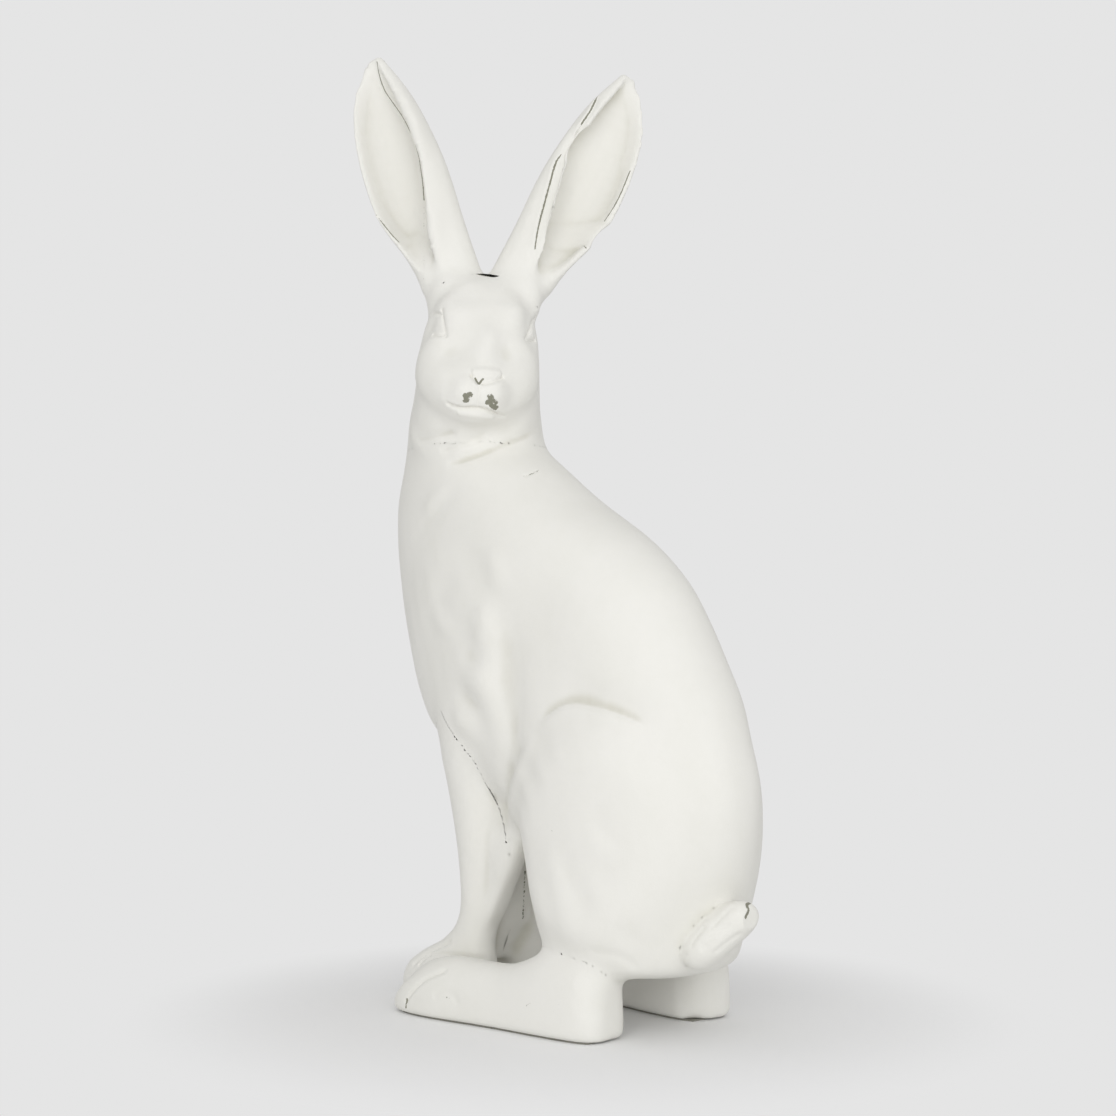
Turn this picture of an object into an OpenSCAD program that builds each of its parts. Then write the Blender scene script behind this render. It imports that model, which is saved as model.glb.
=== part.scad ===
// Sitting hare figurine that looks back over its left shoulder, cast in pieces and joined on steel pins.
// The hips and feet face -Y, the hare's left side is +X and +Z is up.

/* [Body] */
// Height of the neck joint above the soles
neck_h = 357; // [340:1:375]
// Width across the haunches
haunch_w = 128; // [118:1:138]
// Reach of the breast in front of the heels
breast_reach = 224; // [212:1:236]
// Reach of the rump behind the heels
rump_reach = 64; // [58:1:72]
// Wall of the hollow torso
torso_wall = 8; // [6:0.5:11]
// How far the thigh stands out from the flank
thigh_relief = 11; // [7:0.5:13]
// How far the upper arm stands out from the flank
arm_relief = 4; // [2:0.5:6]

/* [Head] */
// Turn of the head from straight ahead, towards the left shoulder
head_turn = 135; // [120:1:145]
// Sideways tilt of the head, towards the left ear
head_tilt = 4; // [1:0.5:7]
// Height of the crown above the neck joint
crown_h = 113; // [106:1:120]
// Reach of the nose in front of the neck's middle
nose_reach = 76; // [70:1:82]
// Width across the cheeks
cheek_w = 87; // [81:1:93]
// Height of the brow ridges above the face
brow_relief = 4; // [2:0.5:6]

/* [Ears] */
// Length of an ear along its middle, with its root
ear_len = 178; // [165:1:190]
// Width of an ear at its widest
ear_w = 57; // [50:1:62]
// Thickness of the ear wall
ear_wall = 4.6; // [3.5:0.1:6]
// Distance between the two ear roots
ear_spacing = 29; // [27:1:33]
// Lean of each ear away from the middle
ear_lean = 22.5; // [18:0.5:25]
// Lean of both ears towards the nape
ear_back_lean = 7; // [0:0.5:12]

/* [Legs] */
// Distance between the middles of the forelegs
foreleg_spacing = 52; // [50:1:56]
// Distance of the forelegs in front of the heels
foreleg_reach = 131; // [126:1:136]
// Width of a foreleg at its wrist
wrist_w = 26; // [24:1:29]
// Length of a forepaw
forepaw_len = 70; // [64:1:76]
// Width of a forepaw
forepaw_w = 34; // [30:1:35]
// Distance between the middles of the heels
heel_spacing = 94; // [90:1:98]
// Length of a hind foot
hind_foot_len = 168; // [158:1:178]
// Width of a hind foot at its heel
hind_foot_w = 42; // [38:1:44]
// Height of the instep
instep_h = 38; // [34:1:42]
// Height of the heel block under the haunch
heel_h = 56; // [53:1:60]
// Outward turn of each hind foot
foot_splay = 4; // [2:0.5:5]

/* [Tail] */
// Length of the tail
tail_len = 51; // [47:1:57]
// Width of the tail
tail_w = 30; // [27:1:34]
// Thickness of the tail
tail_t = 24; // [21:1:27]
// Tilt of the tail backwards from upright
tail_tilt = 46; // [41:1:51]
// Turn of the tail away from straight back
tail_turn = 37; // [30:1:44]

/* [Pins and pads] */
// Diameter of the neck dowel
neck_dowel_d = 20; // [16:1:24]
// Length of the neck dowel
neck_dowel_len = 70; // [60:1:80]
// Diameter of the rods in the ears
ear_rod_d = 5; // [4:0.5:6]
// Length of the rods in the ears
ear_rod_len = 40; // [34:1:44]
// Diameter of the rods in the forelegs
foreleg_rod_d = 9; // [7:0.5:10]
// Length of the rods in the forelegs
foreleg_rod_len = 150; // [140:1:160]
// Diameter of the pins in the heels
heel_pin_d = 10; // [8:0.5:12]
// Length of the pins in the heels
heel_pin_len = 54; // [50:1:58]
// Diameter of the tail pin
tail_pin_d = 6; // [5:0.5:8]
// Length of the tail pin
tail_pin_len = 30; // [26:1:34]
// Diameter of the plug in the drain hole
vent_d = 18; // [14:1:22]
// Thickness of the felt pads
pad_t = 1; // [0.8:0.1:1.5]
// Inset of the felt pads from the edge of the sole
pad_inset = 2.5; // [1.5:0.5:4]

/* [Hidden] */
$fn = 48;

// One named overrun for every cut
cut_over = 1;
// Clearance between a pin and its bore, all round
pin_gap = 0.05;

paint = "ivory";
steel = "silver";
felt = "dimgray";
rubber_grey = "gray";

// Points round one ring of each casting, and rings along it
torso_sides = 40;
torso_rings = 45;
cavity_sides = 20;
cavity_rings = 12;
head_sides = 36;
head_rings = 28;
ear_arc_points = 13;
ear_rings = 22;
leg_sides = 20;
leg_rings = 18;
foot_sides = 24;
foot_rings = 20;
tail_sides = 18;
tail_rings = 10;

// Torso, by height: half width, breast line, back line, line of the greatest width, fullness before and behind it
torso_shares = [
    [0.100, 0.50, 0.15, 0.30, 0.040, 2.6, 2.0],
    [0.108, 0.76, 0.23, 0.50, 0.045, 2.8, 2.0],
    [0.125, 0.87, 0.285, 0.61, 0.050, 3.0, 2.0],
    [0.165, 0.92, 0.325, 0.70, 0.080, 3.0, 2.0],
    [0.224, 0.91, 0.355, 0.81, 0.100, 2.8, 2.0],
    [0.280, 0.89, 0.39, 0.91, 0.110, 2.5, 2.0],
    [0.342, 0.88, 0.47, 0.98, 0.130, 2.3, 2.0],
    [0.426, 0.87, 0.66, 0.98, 0.170, 2.2, 2.1],
    [0.490, 0.87, 0.84, 0.90, 0.220, 2.2, 2.1],
    [0.560, 0.88, 0.925, 0.79, 0.265, 2.1, 2.1],
    [0.622, 0.88, 0.960, 0.61, 0.315, 2.1, 2.1],
    [0.692, 0.87, 0.990, 0.39, 0.375, 2.1, 2.1],
    [0.762, 0.86, 1.015, 0.13, 0.445, 2.0, 2.0],
    [0.832, 0.81, 1.029, -0.34, 0.520, 2.0, 2.0],
    [0.905, 0.74, 1.027, -1.08, 0.600, 2.0, 2.0],
    [0.952, 0.69, 1.002, -1.47, 0.665, 2.0, 2.0],
    [1.000, 0.65, 0.976, -1.885, 0.722, 2.0, 2.0]
];
torso_foot_share = torso_shares[0][0];

// Muscles on the torso: distance before the heels and height, then the reach each way, as shares of
// breast_reach and neck_h
thigh_shares = [0.045, 0.335, 0.335, 0.225];
arm_shares = [0.66, 0.62, 0.26, 0.22];
// Width of the soft edge of a muscle, as a share of its reach
muscle_edge_share = 0.4;

// Head, from the neck joint to the nose: underside reach and height, top reach and height, half width, fullness
head_shares = [
    [0.00, 0.54, 0.000, -0.60, 0.000, 0.95, 2.0],
    [0.10, 0.52, 0.035, -0.62, 0.230, 0.97, 2.0],
    [0.20, 0.50, 0.065, -0.59, 0.480, 0.95, 2.0],
    [0.31, 0.51, 0.085, -0.47, 0.740, 0.92, 2.1],
    [0.42, 0.54, 0.090, -0.24, 0.920, 0.90, 2.2],
    [0.53, 0.59, 0.090, 0.03, 1.000, 0.88, 2.3],
    [0.63, 0.65, 0.090, 0.27, 0.965, 0.85, 2.2],
    [0.72, 0.71, 0.093, 0.46, 0.860, 0.79, 2.1],
    [0.80, 0.77, 0.105, 0.61, 0.730, 0.69, 2.0],
    [0.86, 0.82, 0.120, 0.72, 0.610, 0.60, 1.9],
    [0.91, 0.86, 0.140, 0.82, 0.510, 0.52, 1.9],
    [0.95, 0.90, 0.165, 0.90, 0.430, 0.44, 2.0],
    [0.98, 0.94, 0.195, 0.96, 0.370, 0.33, 2.2],
    [1.00, 0.97, 0.230, 0.98, 0.320, 0.18, 2.2]
];
// How far the cheeks are fuller than the crown
cheek_share = 0.10;
// How soon the neck takes the head's own form
neck_blend_share = 0.22;
// Forms on both sides of the face: side, reach and height of the middle, as shares of the cheek width, nose reach
// and crown height, then the radius as a share of the cheek width and the lift as a share of the brow relief
face_shares = [
    [0.24, 0.44, 0.79, 0.17, 1.00],
    [0.35, 0.42, 0.66, 0.17, -1.30],
    [0.17, 0.76, 0.52, 0.16, -0.80],
    [0.38, 0.46, 0.38, 0.28, 0.60],
    [0.10, 0.92, 0.28, 0.13, 0.70],
    [0.06, 0.90, 0.14, 0.13, 0.50]
];
// Middle of the head, from which its forms are lifted, as shares of the nose reach and crown height
head_core_shares = [0.25, 0.50];

// Ear, from root to tip: half width, medial rim angle, lateral rim angle, openness, outward bow
ear_shares = [
    [0.00, 0.70, -80, -52, 0.00, 0.00],
    [0.08, 0.74, -78, -50, 0.00, 0.04],
    [0.16, 0.75, -76, -34, 0.08, 0.14],
    [0.24, 0.79, -82, -14, 0.45, 0.32],
    [0.34, 0.90, -98, -5, 1.00, 0.68],
    [0.44, 0.99, -108, -1, 1.00, 0.92],
    [0.56, 1.00, -119, 0, 1.00, 1.00],
    [0.68, 0.93, -125, 0, 1.00, 1.02],
    [0.80, 0.79, -125, 0, 1.00, 0.98],
    [0.90, 0.56, -120, 0, 0.90, 0.84],
    [0.96, 0.35, -114, 0, 0.60, 0.62],
    [1.00, 0.16, -108, 0, 0.00, 0.30]
];
ear_rim_angle = 4;
ear_web_share = 0.04;
ear_bow_share = 0.046;
ear_depth_share = 0.62;
// Place of the ear root in the skull, as shares of the nose reach and crown height
ear_root_back_share = -0.03;
ear_root_h_share = 0.82;
// Place of the rod's middle along the ear, and its set-back from the ear's middle
ear_rod_place_share = 0.05;
ear_rod_set_share = 0.20;

// Foreleg, by height: half width, front line, back line, fullness
wrist_share = 0.765;
foreleg_shares = [
    [0.000, 0.80, 0.94, 0.02, 2.6],
    [0.025, 0.95, 0.99, 0.07, 2.6],
    [0.070, 1.00, 1.00, 0.10, 2.5],
    [0.120, 0.96, 0.93, 0.12, 2.4],
    [0.165, 0.88, 0.74, 0.14, 2.2],
    [0.210, 0.80, 0.48, 0.14, 2.1],
    [0.270, wrist_share, 0.30, 0.14, 2.0],
    [0.340, 0.77, 0.24, 0.16, 2.0],
    [0.450, 0.86, 0.25, 0.20, 2.0],
    [0.560, 1.02, 0.28, 0.24, 2.0],
    [0.700, 1.22, 0.35, 0.28, 2.0],
    [0.850, 1.40, 0.46, 0.34, 2.0],
    [1.000, 1.40, 0.52, 0.36, 2.0]
];
foreleg_top_share = 0.54;
paw_top_share = 0.27;
toe_depth_share = 0.055;
// Height up to which the forepaw is parted into toes
toe_top_share = 0.2;

// Hind foot, from heel to toe tip: half width, height, outward shift
instep_share = 0.69;
hind_foot_shares = [
    [0.00, 0.46, 0.80, 0.00],
    [0.02, 0.74, 0.92, 0.00],
    [0.06, 0.93, 0.99, 0.00],
    [0.13, 1.00, 1.00, 0.00],
    [0.24, 1.02, 0.98, 0.00],
    [0.36, 0.97, 0.80, 0.01],
    [0.46, 0.93, instep_share, 0.02],
    [0.60, 0.92, 0.68, 0.04],
    [0.74, 0.95, 0.69, 0.06],
    [0.84, 0.93, 0.62, 0.06],
    [0.92, 0.82, 0.47, 0.05],
    [0.97, 0.64, 0.33, 0.04],
    [1.00, 0.34, 0.16, 0.03]
];
hind_toe_share = 0.030;
hind_edge_share = 0.32;
foot_top_fullness = 2.1;
sole_fullness = 7;
toe_count = 4;
// Where the heel block passes into the instep and the foot into its toes: start, and length of the passage
instep_start_share = 0.2;
instep_run_share = 0.2;
toe_start_share = 0.72;
toe_run_share = 0.2;
// Rounded border of the sole
sole_round_share = 0.1;

// Tail, from root to tip: half width, half thickness, lift off the rump
tail_shares = [
    [0.00, 0.40, 0.46, 0.00],
    [0.10, 0.74, 0.80, 0.00],
    [0.30, 0.98, 0.99, 0.00],
    [0.55, 1.00, 1.00, 0.01],
    [0.78, 0.90, 0.92, 0.03],
    [0.92, 0.62, 0.66, 0.06],
    [1.00, 0.22, 0.24, 0.08]
];
tail_root_h_share = 0.137;
tail_root_back_share = 0.61;
tail_root_side_share = 0.185;

function clamp01(t) = min(1, max(0, t));
function ease(t) = let (u = clamp01(t)) u * u * (3 - 2 * u);
function mix(a, b, t) = a + (b - a) * t;
function backwards(list) = [for (k = [len(list) - 1 : -1 : 0]) list[k]];
function sharpened(v, n) = sign(v) * pow(abs(v), 2 / n);

// A point turned about one axis
function about_x(p, a) = [p[0], p[1] * cos(a) - p[2] * sin(a), p[1] * sin(a) + p[2] * cos(a)];
function about_y(p, a) = [p[0] * cos(a) + p[2] * sin(a), p[1], p[2] * cos(a) - p[0] * sin(a)];
function about_z(p, a) = [p[0] * cos(a) - p[1] * sin(a), p[0] * sin(a) + p[1] * cos(a), p[2]];

// A smooth curve through one column of a table, by its first column
function row_at(table, x, i = 0) =
    i >= len(table) - 2 || x < table[i + 1][0] ? i : row_at(table, x, i + 1);
function slope(table, i, c) =
    let (a = max(i - 1, 0), b = min(i + 1, len(table) - 1))
    (table[b][c] - table[a][c]) / (table[b][0] - table[a][0]);
function curve(table, x, c) =
    let (
        i = row_at(table, x),
        w = table[i + 1][0] - table[i][0],
        t = (x - table[i][0]) / w,
        rise = t * t * (3 - 2 * t),
        lead = t * (1 - t) * (1 - t),
        trail = t * t * (t - 1)
    )
    mix(table[i][c], table[i + 1][c], rise) + w * (lead * slope(table, i, c) + trail * slope(table, i + 1, c));

// Closed solid from rings that hold the same number of points, with a flat end at both
function loft_faces(rings, sides) = concat(
    [[for (k = [0 : sides - 1]) k]],
    [
        for (r = [0 : rings - 2], k = [0 : sides - 1], half = [0, 1])
            let (a = r * sides + k, b = r * sides + (k + 1) % sides)
            half == 0 ? [a, a + sides, b] : [b, a + sides, b + sides]
    ],
    [[for (k = [sides - 1 : -1 : 0]) (rings - 1) * sides + k]]
);
module loft(rings) {
    polyhedron(points = [for (ring = rings) each ring], faces = loft_faces(len(rings), len(rings[0])));
}

// Rises from 0 outside an oval to 1 on it, across a soft edge
function muscle(y, z, shares) =
    let (
        across = (-y / breast_reach - shares[0]) / shares[2],
        up = (z / neck_h - shares[1]) / shares[3]
    )
    ease((1 - norm([across, up])) / muscle_edge_share);
function torso_relief(y, z) = thigh_relief * muscle(y, z, thigh_shares) + arm_relief * muscle(y, z, arm_shares);

// One point of the torso's skin: share of the height, angle round the ring, inset from the skin
function torso_point(s, angle, inset = 0) =
    let (
        half_w = haunch_w / 2 * curve(torso_shares, s, 1) - inset,
        front = -breast_reach * curve(torso_shares, s, 2) + inset,
        back = rump_reach * curve(torso_shares, s, 3) - inset,
        middle = -breast_reach * curve(torso_shares, s, 4),
        fullness = curve(torso_shares, s, sin(angle) > 0 ? 6 : 5),
        side = sharpened(cos(angle), fullness),
        along = sharpened(sin(angle), fullness),
        y = along > 0 ? mix(middle, back, along) : mix(middle, front, -along),
        z = neck_h * s,
        relief = inset > 0 ? 0 : torso_relief(y, z)
    )
    [half_w * side + relief * side, y, z];
function torso_ring(s, sides, inset = 0) =
    [for (k = [0 : sides - 1]) torso_point(s, k * 360 / sides, inset)];

// Rings lie closer together at the rounded underside
torso_even_share = 0.72;
function torso_ring_share(r) =
    let (t = r / (torso_rings - 1))
    mix(torso_foot_share, 1, mix(t * t, t, torso_even_share));
torso_skin = [for (r = [0 : torso_rings - 1]) torso_ring(torso_ring_share(r), torso_sides)];

module torso_form() {
    loft(torso_skin);
}

// Part of a casting as a wedge from its core to its skin, over some rings and one span of angles: the shape
// that a joined piece is fitted to
function wedge(skin, rings, angles) =
    let (sides = len(skin[0]), first = angles[0] / 360 * sides, last = angles[1] / 360 * sides)
    [
        for (r = [rings[0] : rings[1]])
            concat(
                [(skin[r][0] + skin[r][sides / 2]) / 2],
                [for (k = [first : last]) skin[r][(k + sides) % sides]]
            )
    ];
module torso_seat(height_share, angles) {
    last = len([for (ring = torso_skin) if (ring[0][2] < neck_h * height_share) ring]);
    loft(wedge(torso_skin, [0, last], angles));
}

// The cavity ends below the neck, so that the dowel has solid casting round it
cavity_low_share = torso_foot_share + torso_wall / neck_h;
cavity_top_share = 0.84;
module torso_cavity() {
    loft([
        for (r = [0 : cavity_rings - 1])
            torso_ring(mix(cavity_low_share, cavity_top_share, r / (cavity_rings - 1)), cavity_sides, torso_wall)
    ]);
}

neck_middle = [0, (torso_point(1, 90)[1] + torso_point(1, -90)[1]) / 2, neck_h];

// The head's own frame stands on the neck's middle, faces -Y and is turned as a whole
function head_to_body(p) = neck_middle + about_z(about_y(p, head_tilt), head_turn);
function face_lift(p, form, side) =
    let (middle = [side * form[0] * cheek_w, -form[1] * nose_reach, form[2] * crown_h])
    form[4] * brow_relief * ease(1 - norm(p - middle) / (form[3] * cheek_w));
function sum(list) = list * [for (v = list) 1];
function head_point(s, angle) =
    let (
        under = [-nose_reach * curve(head_shares, s, 1), crown_h * curve(head_shares, s, 2)],
        top = [-nose_reach * curve(head_shares, s, 3), crown_h * curve(head_shares, s, 4)],
        half_w = cheek_w / 2 * curve(head_shares, s, 5),
        fullness = curve(head_shares, s, 6),
        side = sharpened(cos(angle), fullness),
        along = sharpened(sin(angle), fullness),
        middle = (under + top) / 2,
        reach = (top - under) / 2,
        plain = [half_w * side * (1 - cheek_share * along), middle[0] + reach[0] * along, middle[1] + reach[1] * along],
        outward = plain - [0, -head_core_shares[0] * nose_reach, head_core_shares[1] * crown_h],
        lift = sum([for (form = face_shares, side = [-1, 1]) face_lift(plain, form, side)])
    )
    plain + outward / norm(outward) * lift;
function head_ring(s, sides) = [
    for (k = [0 : sides - 1])
        let (angle = k * 360 / sides, own = head_to_body(head_point(s, angle)), neck = torso_point(1, angle + head_turn))
        mix([neck[0], neck[1], neck_h + max(0, own[2] - neck_h) * ease(s / neck_blend_share * 2)], own, ease(s / neck_blend_share))
];
head_skin = [for (r = [0 : head_rings - 1]) head_ring(r / (head_rings - 1), head_sides)];

module head_form() {
    loft(head_skin);
}
ear_seat_shares = [0.3, 0.72];
module head_seat(angles) {
    last = head_rings - 1;
    loft(wedge(head_skin, [floor(last * ear_seat_shares[0]), ceil(last * ear_seat_shares[1])], angles));
}

// Puts an ear's own frame (root at the origin, length along +Z, outer side +X, hollow towards -Y) on the skull.
// The right ear is the left one mirrored.
function ear_root(side) = [side * ear_spacing / 2, ear_root_back_share * nose_reach, ear_root_h_share * crown_h];
function ear_to_body(p, side) = head_to_body(ear_root(side) + about_y(about_x(p, -ear_back_lean), side * ear_lean));
module place_ear(side) {
    translate(neck_middle)
        rotate([0, head_tilt, head_turn])
            translate(ear_root(side))
                rotate([-ear_back_lean, side * ear_lean, 0])
                    children();
}
function ear_section(s, side) =
    let (
        half_w = ear_w / 2 * curve(ear_shares, s, 1),
        medial = 360 + curve(ear_shares, s, 2),
        lateral = curve(ear_shares, s, 3),
        openness = clamp01(curve(ear_shares, s, 4)),
        bow = ear_len * ear_bow_share * curve(ear_shares, s, 5),
        wall = min(ear_wall, half_w / 2),
        last = ear_arc_points - 1,
        inner_r = half_w - wall,
        outer = [
            for (k = [0 : last])
                let (a = mix(lateral, medial, k / last)) [half_w * cos(a), half_w * ear_depth_share * sin(a)]
        ],
        arc = [
            for (k = [0 : last])
                let (a = mix(lateral + ear_rim_angle, medial - ear_rim_angle, k / last))
                [inner_r * cos(a), (half_w * ear_depth_share - wall) * sin(a)]
        ],
        inner = [
            for (k = [last : -1 : 0])
                let (chord = mix(outer[0], outer[last], mix(ear_web_share, 1 - ear_web_share, k / last)))
                mix(chord, arc[k], openness)
        ]
    )
    [for (p = (side > 0 ? concat(outer, inner) : backwards(concat(outer, inner))))
        ear_to_body([side * (p[0] + bow), p[1], ear_len * s], side)];
function ear_skin(side) = [for (r = [0 : ear_rings - 1]) ear_section(r / (ear_rings - 1), side)];
module place_ear_rod(side) {
    place_ear(side)
        translate([0, ear_w / 2 * ear_depth_share * ear_rod_set_share, ear_len * ear_rod_place_share])
            children();
}
module ear_rod_form(side, gap = 0) {
    place_ear_rod(side)
        cylinder(d = ear_rod_d + 2 * gap, h = ear_rod_len, center = true);
}

// Foreleg in its own frame: the sole's middle line at x = 0, height up from the sole
foreleg_h = neck_h * foreleg_top_share;
function foreleg_point(s, angle) =
    let (
        w = mix(forepaw_w / 2, wrist_w / 2 / wrist_share, ease(s / paw_top_share)),
        half_w = w * curve(foreleg_shares, s, 1),
        front = -forepaw_len * curve(foreleg_shares, s, 2),
        back = forepaw_len * curve(foreleg_shares, s, 3),
        fullness = curve(foreleg_shares, s, 4),
        side = sharpened(cos(angle), fullness),
        along = sharpened(sin(angle), fullness),
        forward = clamp01(-along) * (1 - ease(s / toe_top_share)),
        toe = toe_depth_share * forepaw_len * forward * abs(sin(side * toe_count * 90))
    )
    [half_w * side, mix((front + back) / 2, along > 0 ? back : front, abs(along)) - toe, pad_t + foreleg_h * s];
// Rings lie closer together in the paw
leg_even_share = 0.35;
function foreleg_skin(side) = [
    for (r = [0 : leg_rings - 1])
        [
            for (k = [0 : leg_sides - 1])
                let (t = r / (leg_rings - 1), p = foreleg_point(mix(t * t, t, leg_even_share), k * 360 / leg_sides))
                [p[0] + side * foreleg_spacing / 2, p[1] - foreleg_reach, p[2]]
        ]
];
module foreleg_rod_form(side, gap = 0) {
    translate([side * foreleg_spacing / 2, -foreleg_reach, foreleg_h - foreleg_rod_len - gap])
        cylinder(d = foreleg_rod_d + 2 * gap, h = foreleg_rod_len + 2 * gap);
}

// Height of a sole's edge, flat but for its rounded border
function sole_edge(up) = clamp01(mix(-sole_round_share, 1, 1 + up));

// Hind foot in its own frame: heel at the origin, toes along -Y
function hind_foot_point(s, angle) =
    let (
        half_w = hind_foot_w / 2 * curve(hind_foot_shares, s, 1),
        instep = ease((s - instep_start_share) / instep_run_share),
        h = mix(heel_h, instep_h / instep_share, instep) * curve(hind_foot_shares, s, 2) - pad_t,
        shift = hind_foot_w * curve(hind_foot_shares, s, 3),
        fullness = sin(angle) > 0 ? foot_top_fullness : sole_fullness,
        side = sharpened(cos(angle), fullness),
        up = sharpened(sin(angle), fullness),
        edge = hind_edge_share,
        front = ease((s - toe_start_share) / toe_run_share),
        toe = hind_toe_share * hind_foot_len * front * (abs(sin(side * toe_count * 45 + 90)) - 0.5)
    )
    [half_w * side + shift, -hind_foot_len * s - toe, pad_t + h * (up > 0 ? mix(edge, 1, up) : edge * sole_edge(up))];
function splayed(p, side) = [
    side * (heel_spacing / 2 + p[0] * cos(foot_splay) - p[1] * sin(foot_splay)),
    p[1] * cos(foot_splay) + p[0] * sin(foot_splay),
    p[2]
];
// Rings lie closer together at the heel and the toes
foot_even_share = 0.4;
function hind_foot_skin(side) = [
    for (r = [0 : foot_rings - 1])
        [
            for (k = [0 : foot_sides - 1])
                let (t = r / (foot_rings - 1), s = mix((1 - cos(t * 180)) / 2, t, foot_even_share))
                splayed(hind_foot_point(s, (side > 0 ? 1 : -1) * k * 360 / foot_sides), side)
        ]
];
heel_pin_back_share = 0.14;
// Height on the torso up to which each joined piece can reach
heel_seat_share = 0.20;
tail_seat_share = 0.33;
heel_pin_low_share = 0.62;
module heel_pin_form(side, gap = 0) {
    at = splayed([0, -hind_foot_len * heel_pin_back_share, 0], side);
    translate([at[0], at[1], heel_h - heel_pin_len * heel_pin_low_share - gap])
        cylinder(d = heel_pin_d + 2 * gap, h = heel_pin_len + 2 * gap);
}

// Tail in its own frame: root at the origin, length along +Z, outer face towards +Y
function tail_skin() = [
    for (r = [0 : tail_rings - 1])
        [
            for (k = [0 : tail_sides - 1])
                let (
                    t = r / (tail_rings - 1),
                    s = (1 - cos(t * 180)) / 2,
                    a = k * 360 / tail_sides
                )
                tail_to_body([
                    tail_w / 2 * curve(tail_shares, s, 1) * cos(a),
                    tail_t / 2 * curve(tail_shares, s, 2) * sin(a) + tail_len * curve(tail_shares, s, 3),
                    tail_len * s
                ])
        ]
];
tail_root = [tail_root_side_share * haunch_w, tail_root_back_share * rump_reach, tail_root_h_share * neck_h];
function tail_to_body(p) = tail_root + about_z(about_x(p, -tail_tilt), tail_turn);
tail_pin_h_share = 0.4;
tail_pin_deep_share = 0.2;
module tail_pin_form(gap = 0) {
    translate(tail_to_body([0, 0, tail_len * tail_pin_h_share]) + [0, tail_t * tail_pin_deep_share + gap, 0])
        rotate([90, 0, 0])
            cylinder(d = tail_pin_d + 2 * gap, h = tail_pin_len + 2 * gap);
}

module neck_dowel_form(gap = 0) {
    translate(neck_middle)
        cylinder(d = neck_dowel_d + 2 * gap, h = neck_dowel_len + 2 * gap, center = true);
}
vent_reach_share = 0.03;
module vent_form(gap, over) {
    translate([0, -breast_reach * vent_reach_share, neck_h * torso_foot_share - over])
        cylinder(d = vent_d + 2 * gap, h = torso_wall + 2 * over);
}

// Outline of a sole, set in from its edge, in body coordinates
pad_shares = [0.04, 0.08, 0.15, 0.28, 0.42, 0.56, 0.70, 0.82, 0.90, 0.95];
function hind_sole(side) =
    let (
        edge = [for (s = pad_shares) [hind_foot_w / 2 * curve(hind_foot_shares, s, 1) * pad_edge_share - pad_inset, s]],
        shift = [for (s = pad_shares) hind_foot_w * curve(hind_foot_shares, s, 3)],
        last = len(pad_shares) - 1
    )
    concat(
        [for (k = [0 : last]) splayed([shift[k] + edge[k][0], -hind_foot_len * edge[k][1], 0], side)],
        [for (k = [last : -1 : 0]) splayed([shift[k] - edge[k][0], -hind_foot_len * edge[k][1], 0], side)]
    );
pad_edge_share = 0.9;
function fore_sole(side) =
    let (
        ring = [for (k = [0 : leg_sides - 1]) foreleg_point(0, k * 360 / leg_sides)],
        middle = (ring[leg_sides / 4][1] + ring[leg_sides * 3 / 4][1]) / 2
    )
    [
        for (p = ring)
            [
                side * foreleg_spacing / 2 + p[0] * (1 - 2 * pad_inset / forepaw_w),
                middle + (p[1] - middle) * (1 - 2 * pad_inset / forepaw_len) - foreleg_reach
            ]
    ];
module pad(outline) {
    linear_extrude(pad_t)
        polygon([for (p = outline) [p[0], p[1]]]);
}

// The origin lies on the ground, in the middle of the figurine's outline
outline_points = concat(
    [for (ring = concat(torso_skin, head_skin, tail_skin())) each ring],
    [for (side = [-1, 1], ring = concat(ear_skin(side), foreleg_skin(side), hind_foot_skin(side))) each ring]
);
function middle_of(points, c) = (min([for (p = points) p[c]]) + max([for (p = points) p[c]])) / 2;
frame_shift = [-middle_of(outline_points, 0), -middle_of(outline_points, 1), 0];
module part(finish) {
    color(finish)
        translate(frame_shift)
            children();
}

module torso() {
    part(paint)
        difference() {
            torso_form();
            torso_cavity();
            neck_dowel_form(pin_gap);
            foreleg_rod_form(1, pin_gap);
            foreleg_rod_form(-1, pin_gap);
            heel_pin_form(1, pin_gap);
            heel_pin_form(-1, pin_gap);
            tail_pin_form(pin_gap);
            vent_form(pin_gap, cut_over);
        }
}
module head() {
    part(paint)
        difference() {
            head_form();
            neck_dowel_form(pin_gap);
            ear_rod_form(1, pin_gap);
            ear_rod_form(-1, pin_gap);
        }
}
module ear(side) {
    part(paint)
        difference() {
            loft(ear_skin(side));
            head_seat(side > 0 ? [-20, 110] : [70, 200]);
            ear_rod_form(side, pin_gap);
        }
}
module foreleg(side) {
    part(paint)
        difference() {
            loft(foreleg_skin(side));
            torso_seat(foreleg_top_share, side > 0 ? [-90, 0] : [180, 270]);
            foreleg_rod_form(side, pin_gap);
        }
}
module hind_foot(side) {
    part(paint)
        difference() {
            loft(hind_foot_skin(side));
            torso_seat(heel_seat_share, side > 0 ? [-90, 63] : [117, 270]);
            heel_pin_form(side, pin_gap);
        }
}
module tail() {
    part(paint)
        difference() {
            loft(tail_skin());
            torso_seat(tail_seat_share, [-9, 162]);
            tail_pin_form(pin_gap);
        }
}
module neck_dowel() {
    part(steel)
        neck_dowel_form();
}
module ear_rod(side) {
    part(steel)
        ear_rod_form(side);
}
module foreleg_rod(side) {
    part(steel)
        foreleg_rod_form(side);
}
module heel_pin(side) {
    part(steel)
        heel_pin_form(side);
}
module tail_pin() {
    part(steel)
        tail_pin_form();
}
module vent_plug() {
    part(rubber_grey)
        vent_form(0, 0);
}
module hind_pad(side) {
    part(felt)
        pad(hind_sole(side));
}
module fore_pad(side) {
    part(felt)
        pad(fore_sole(side));
}

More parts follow.
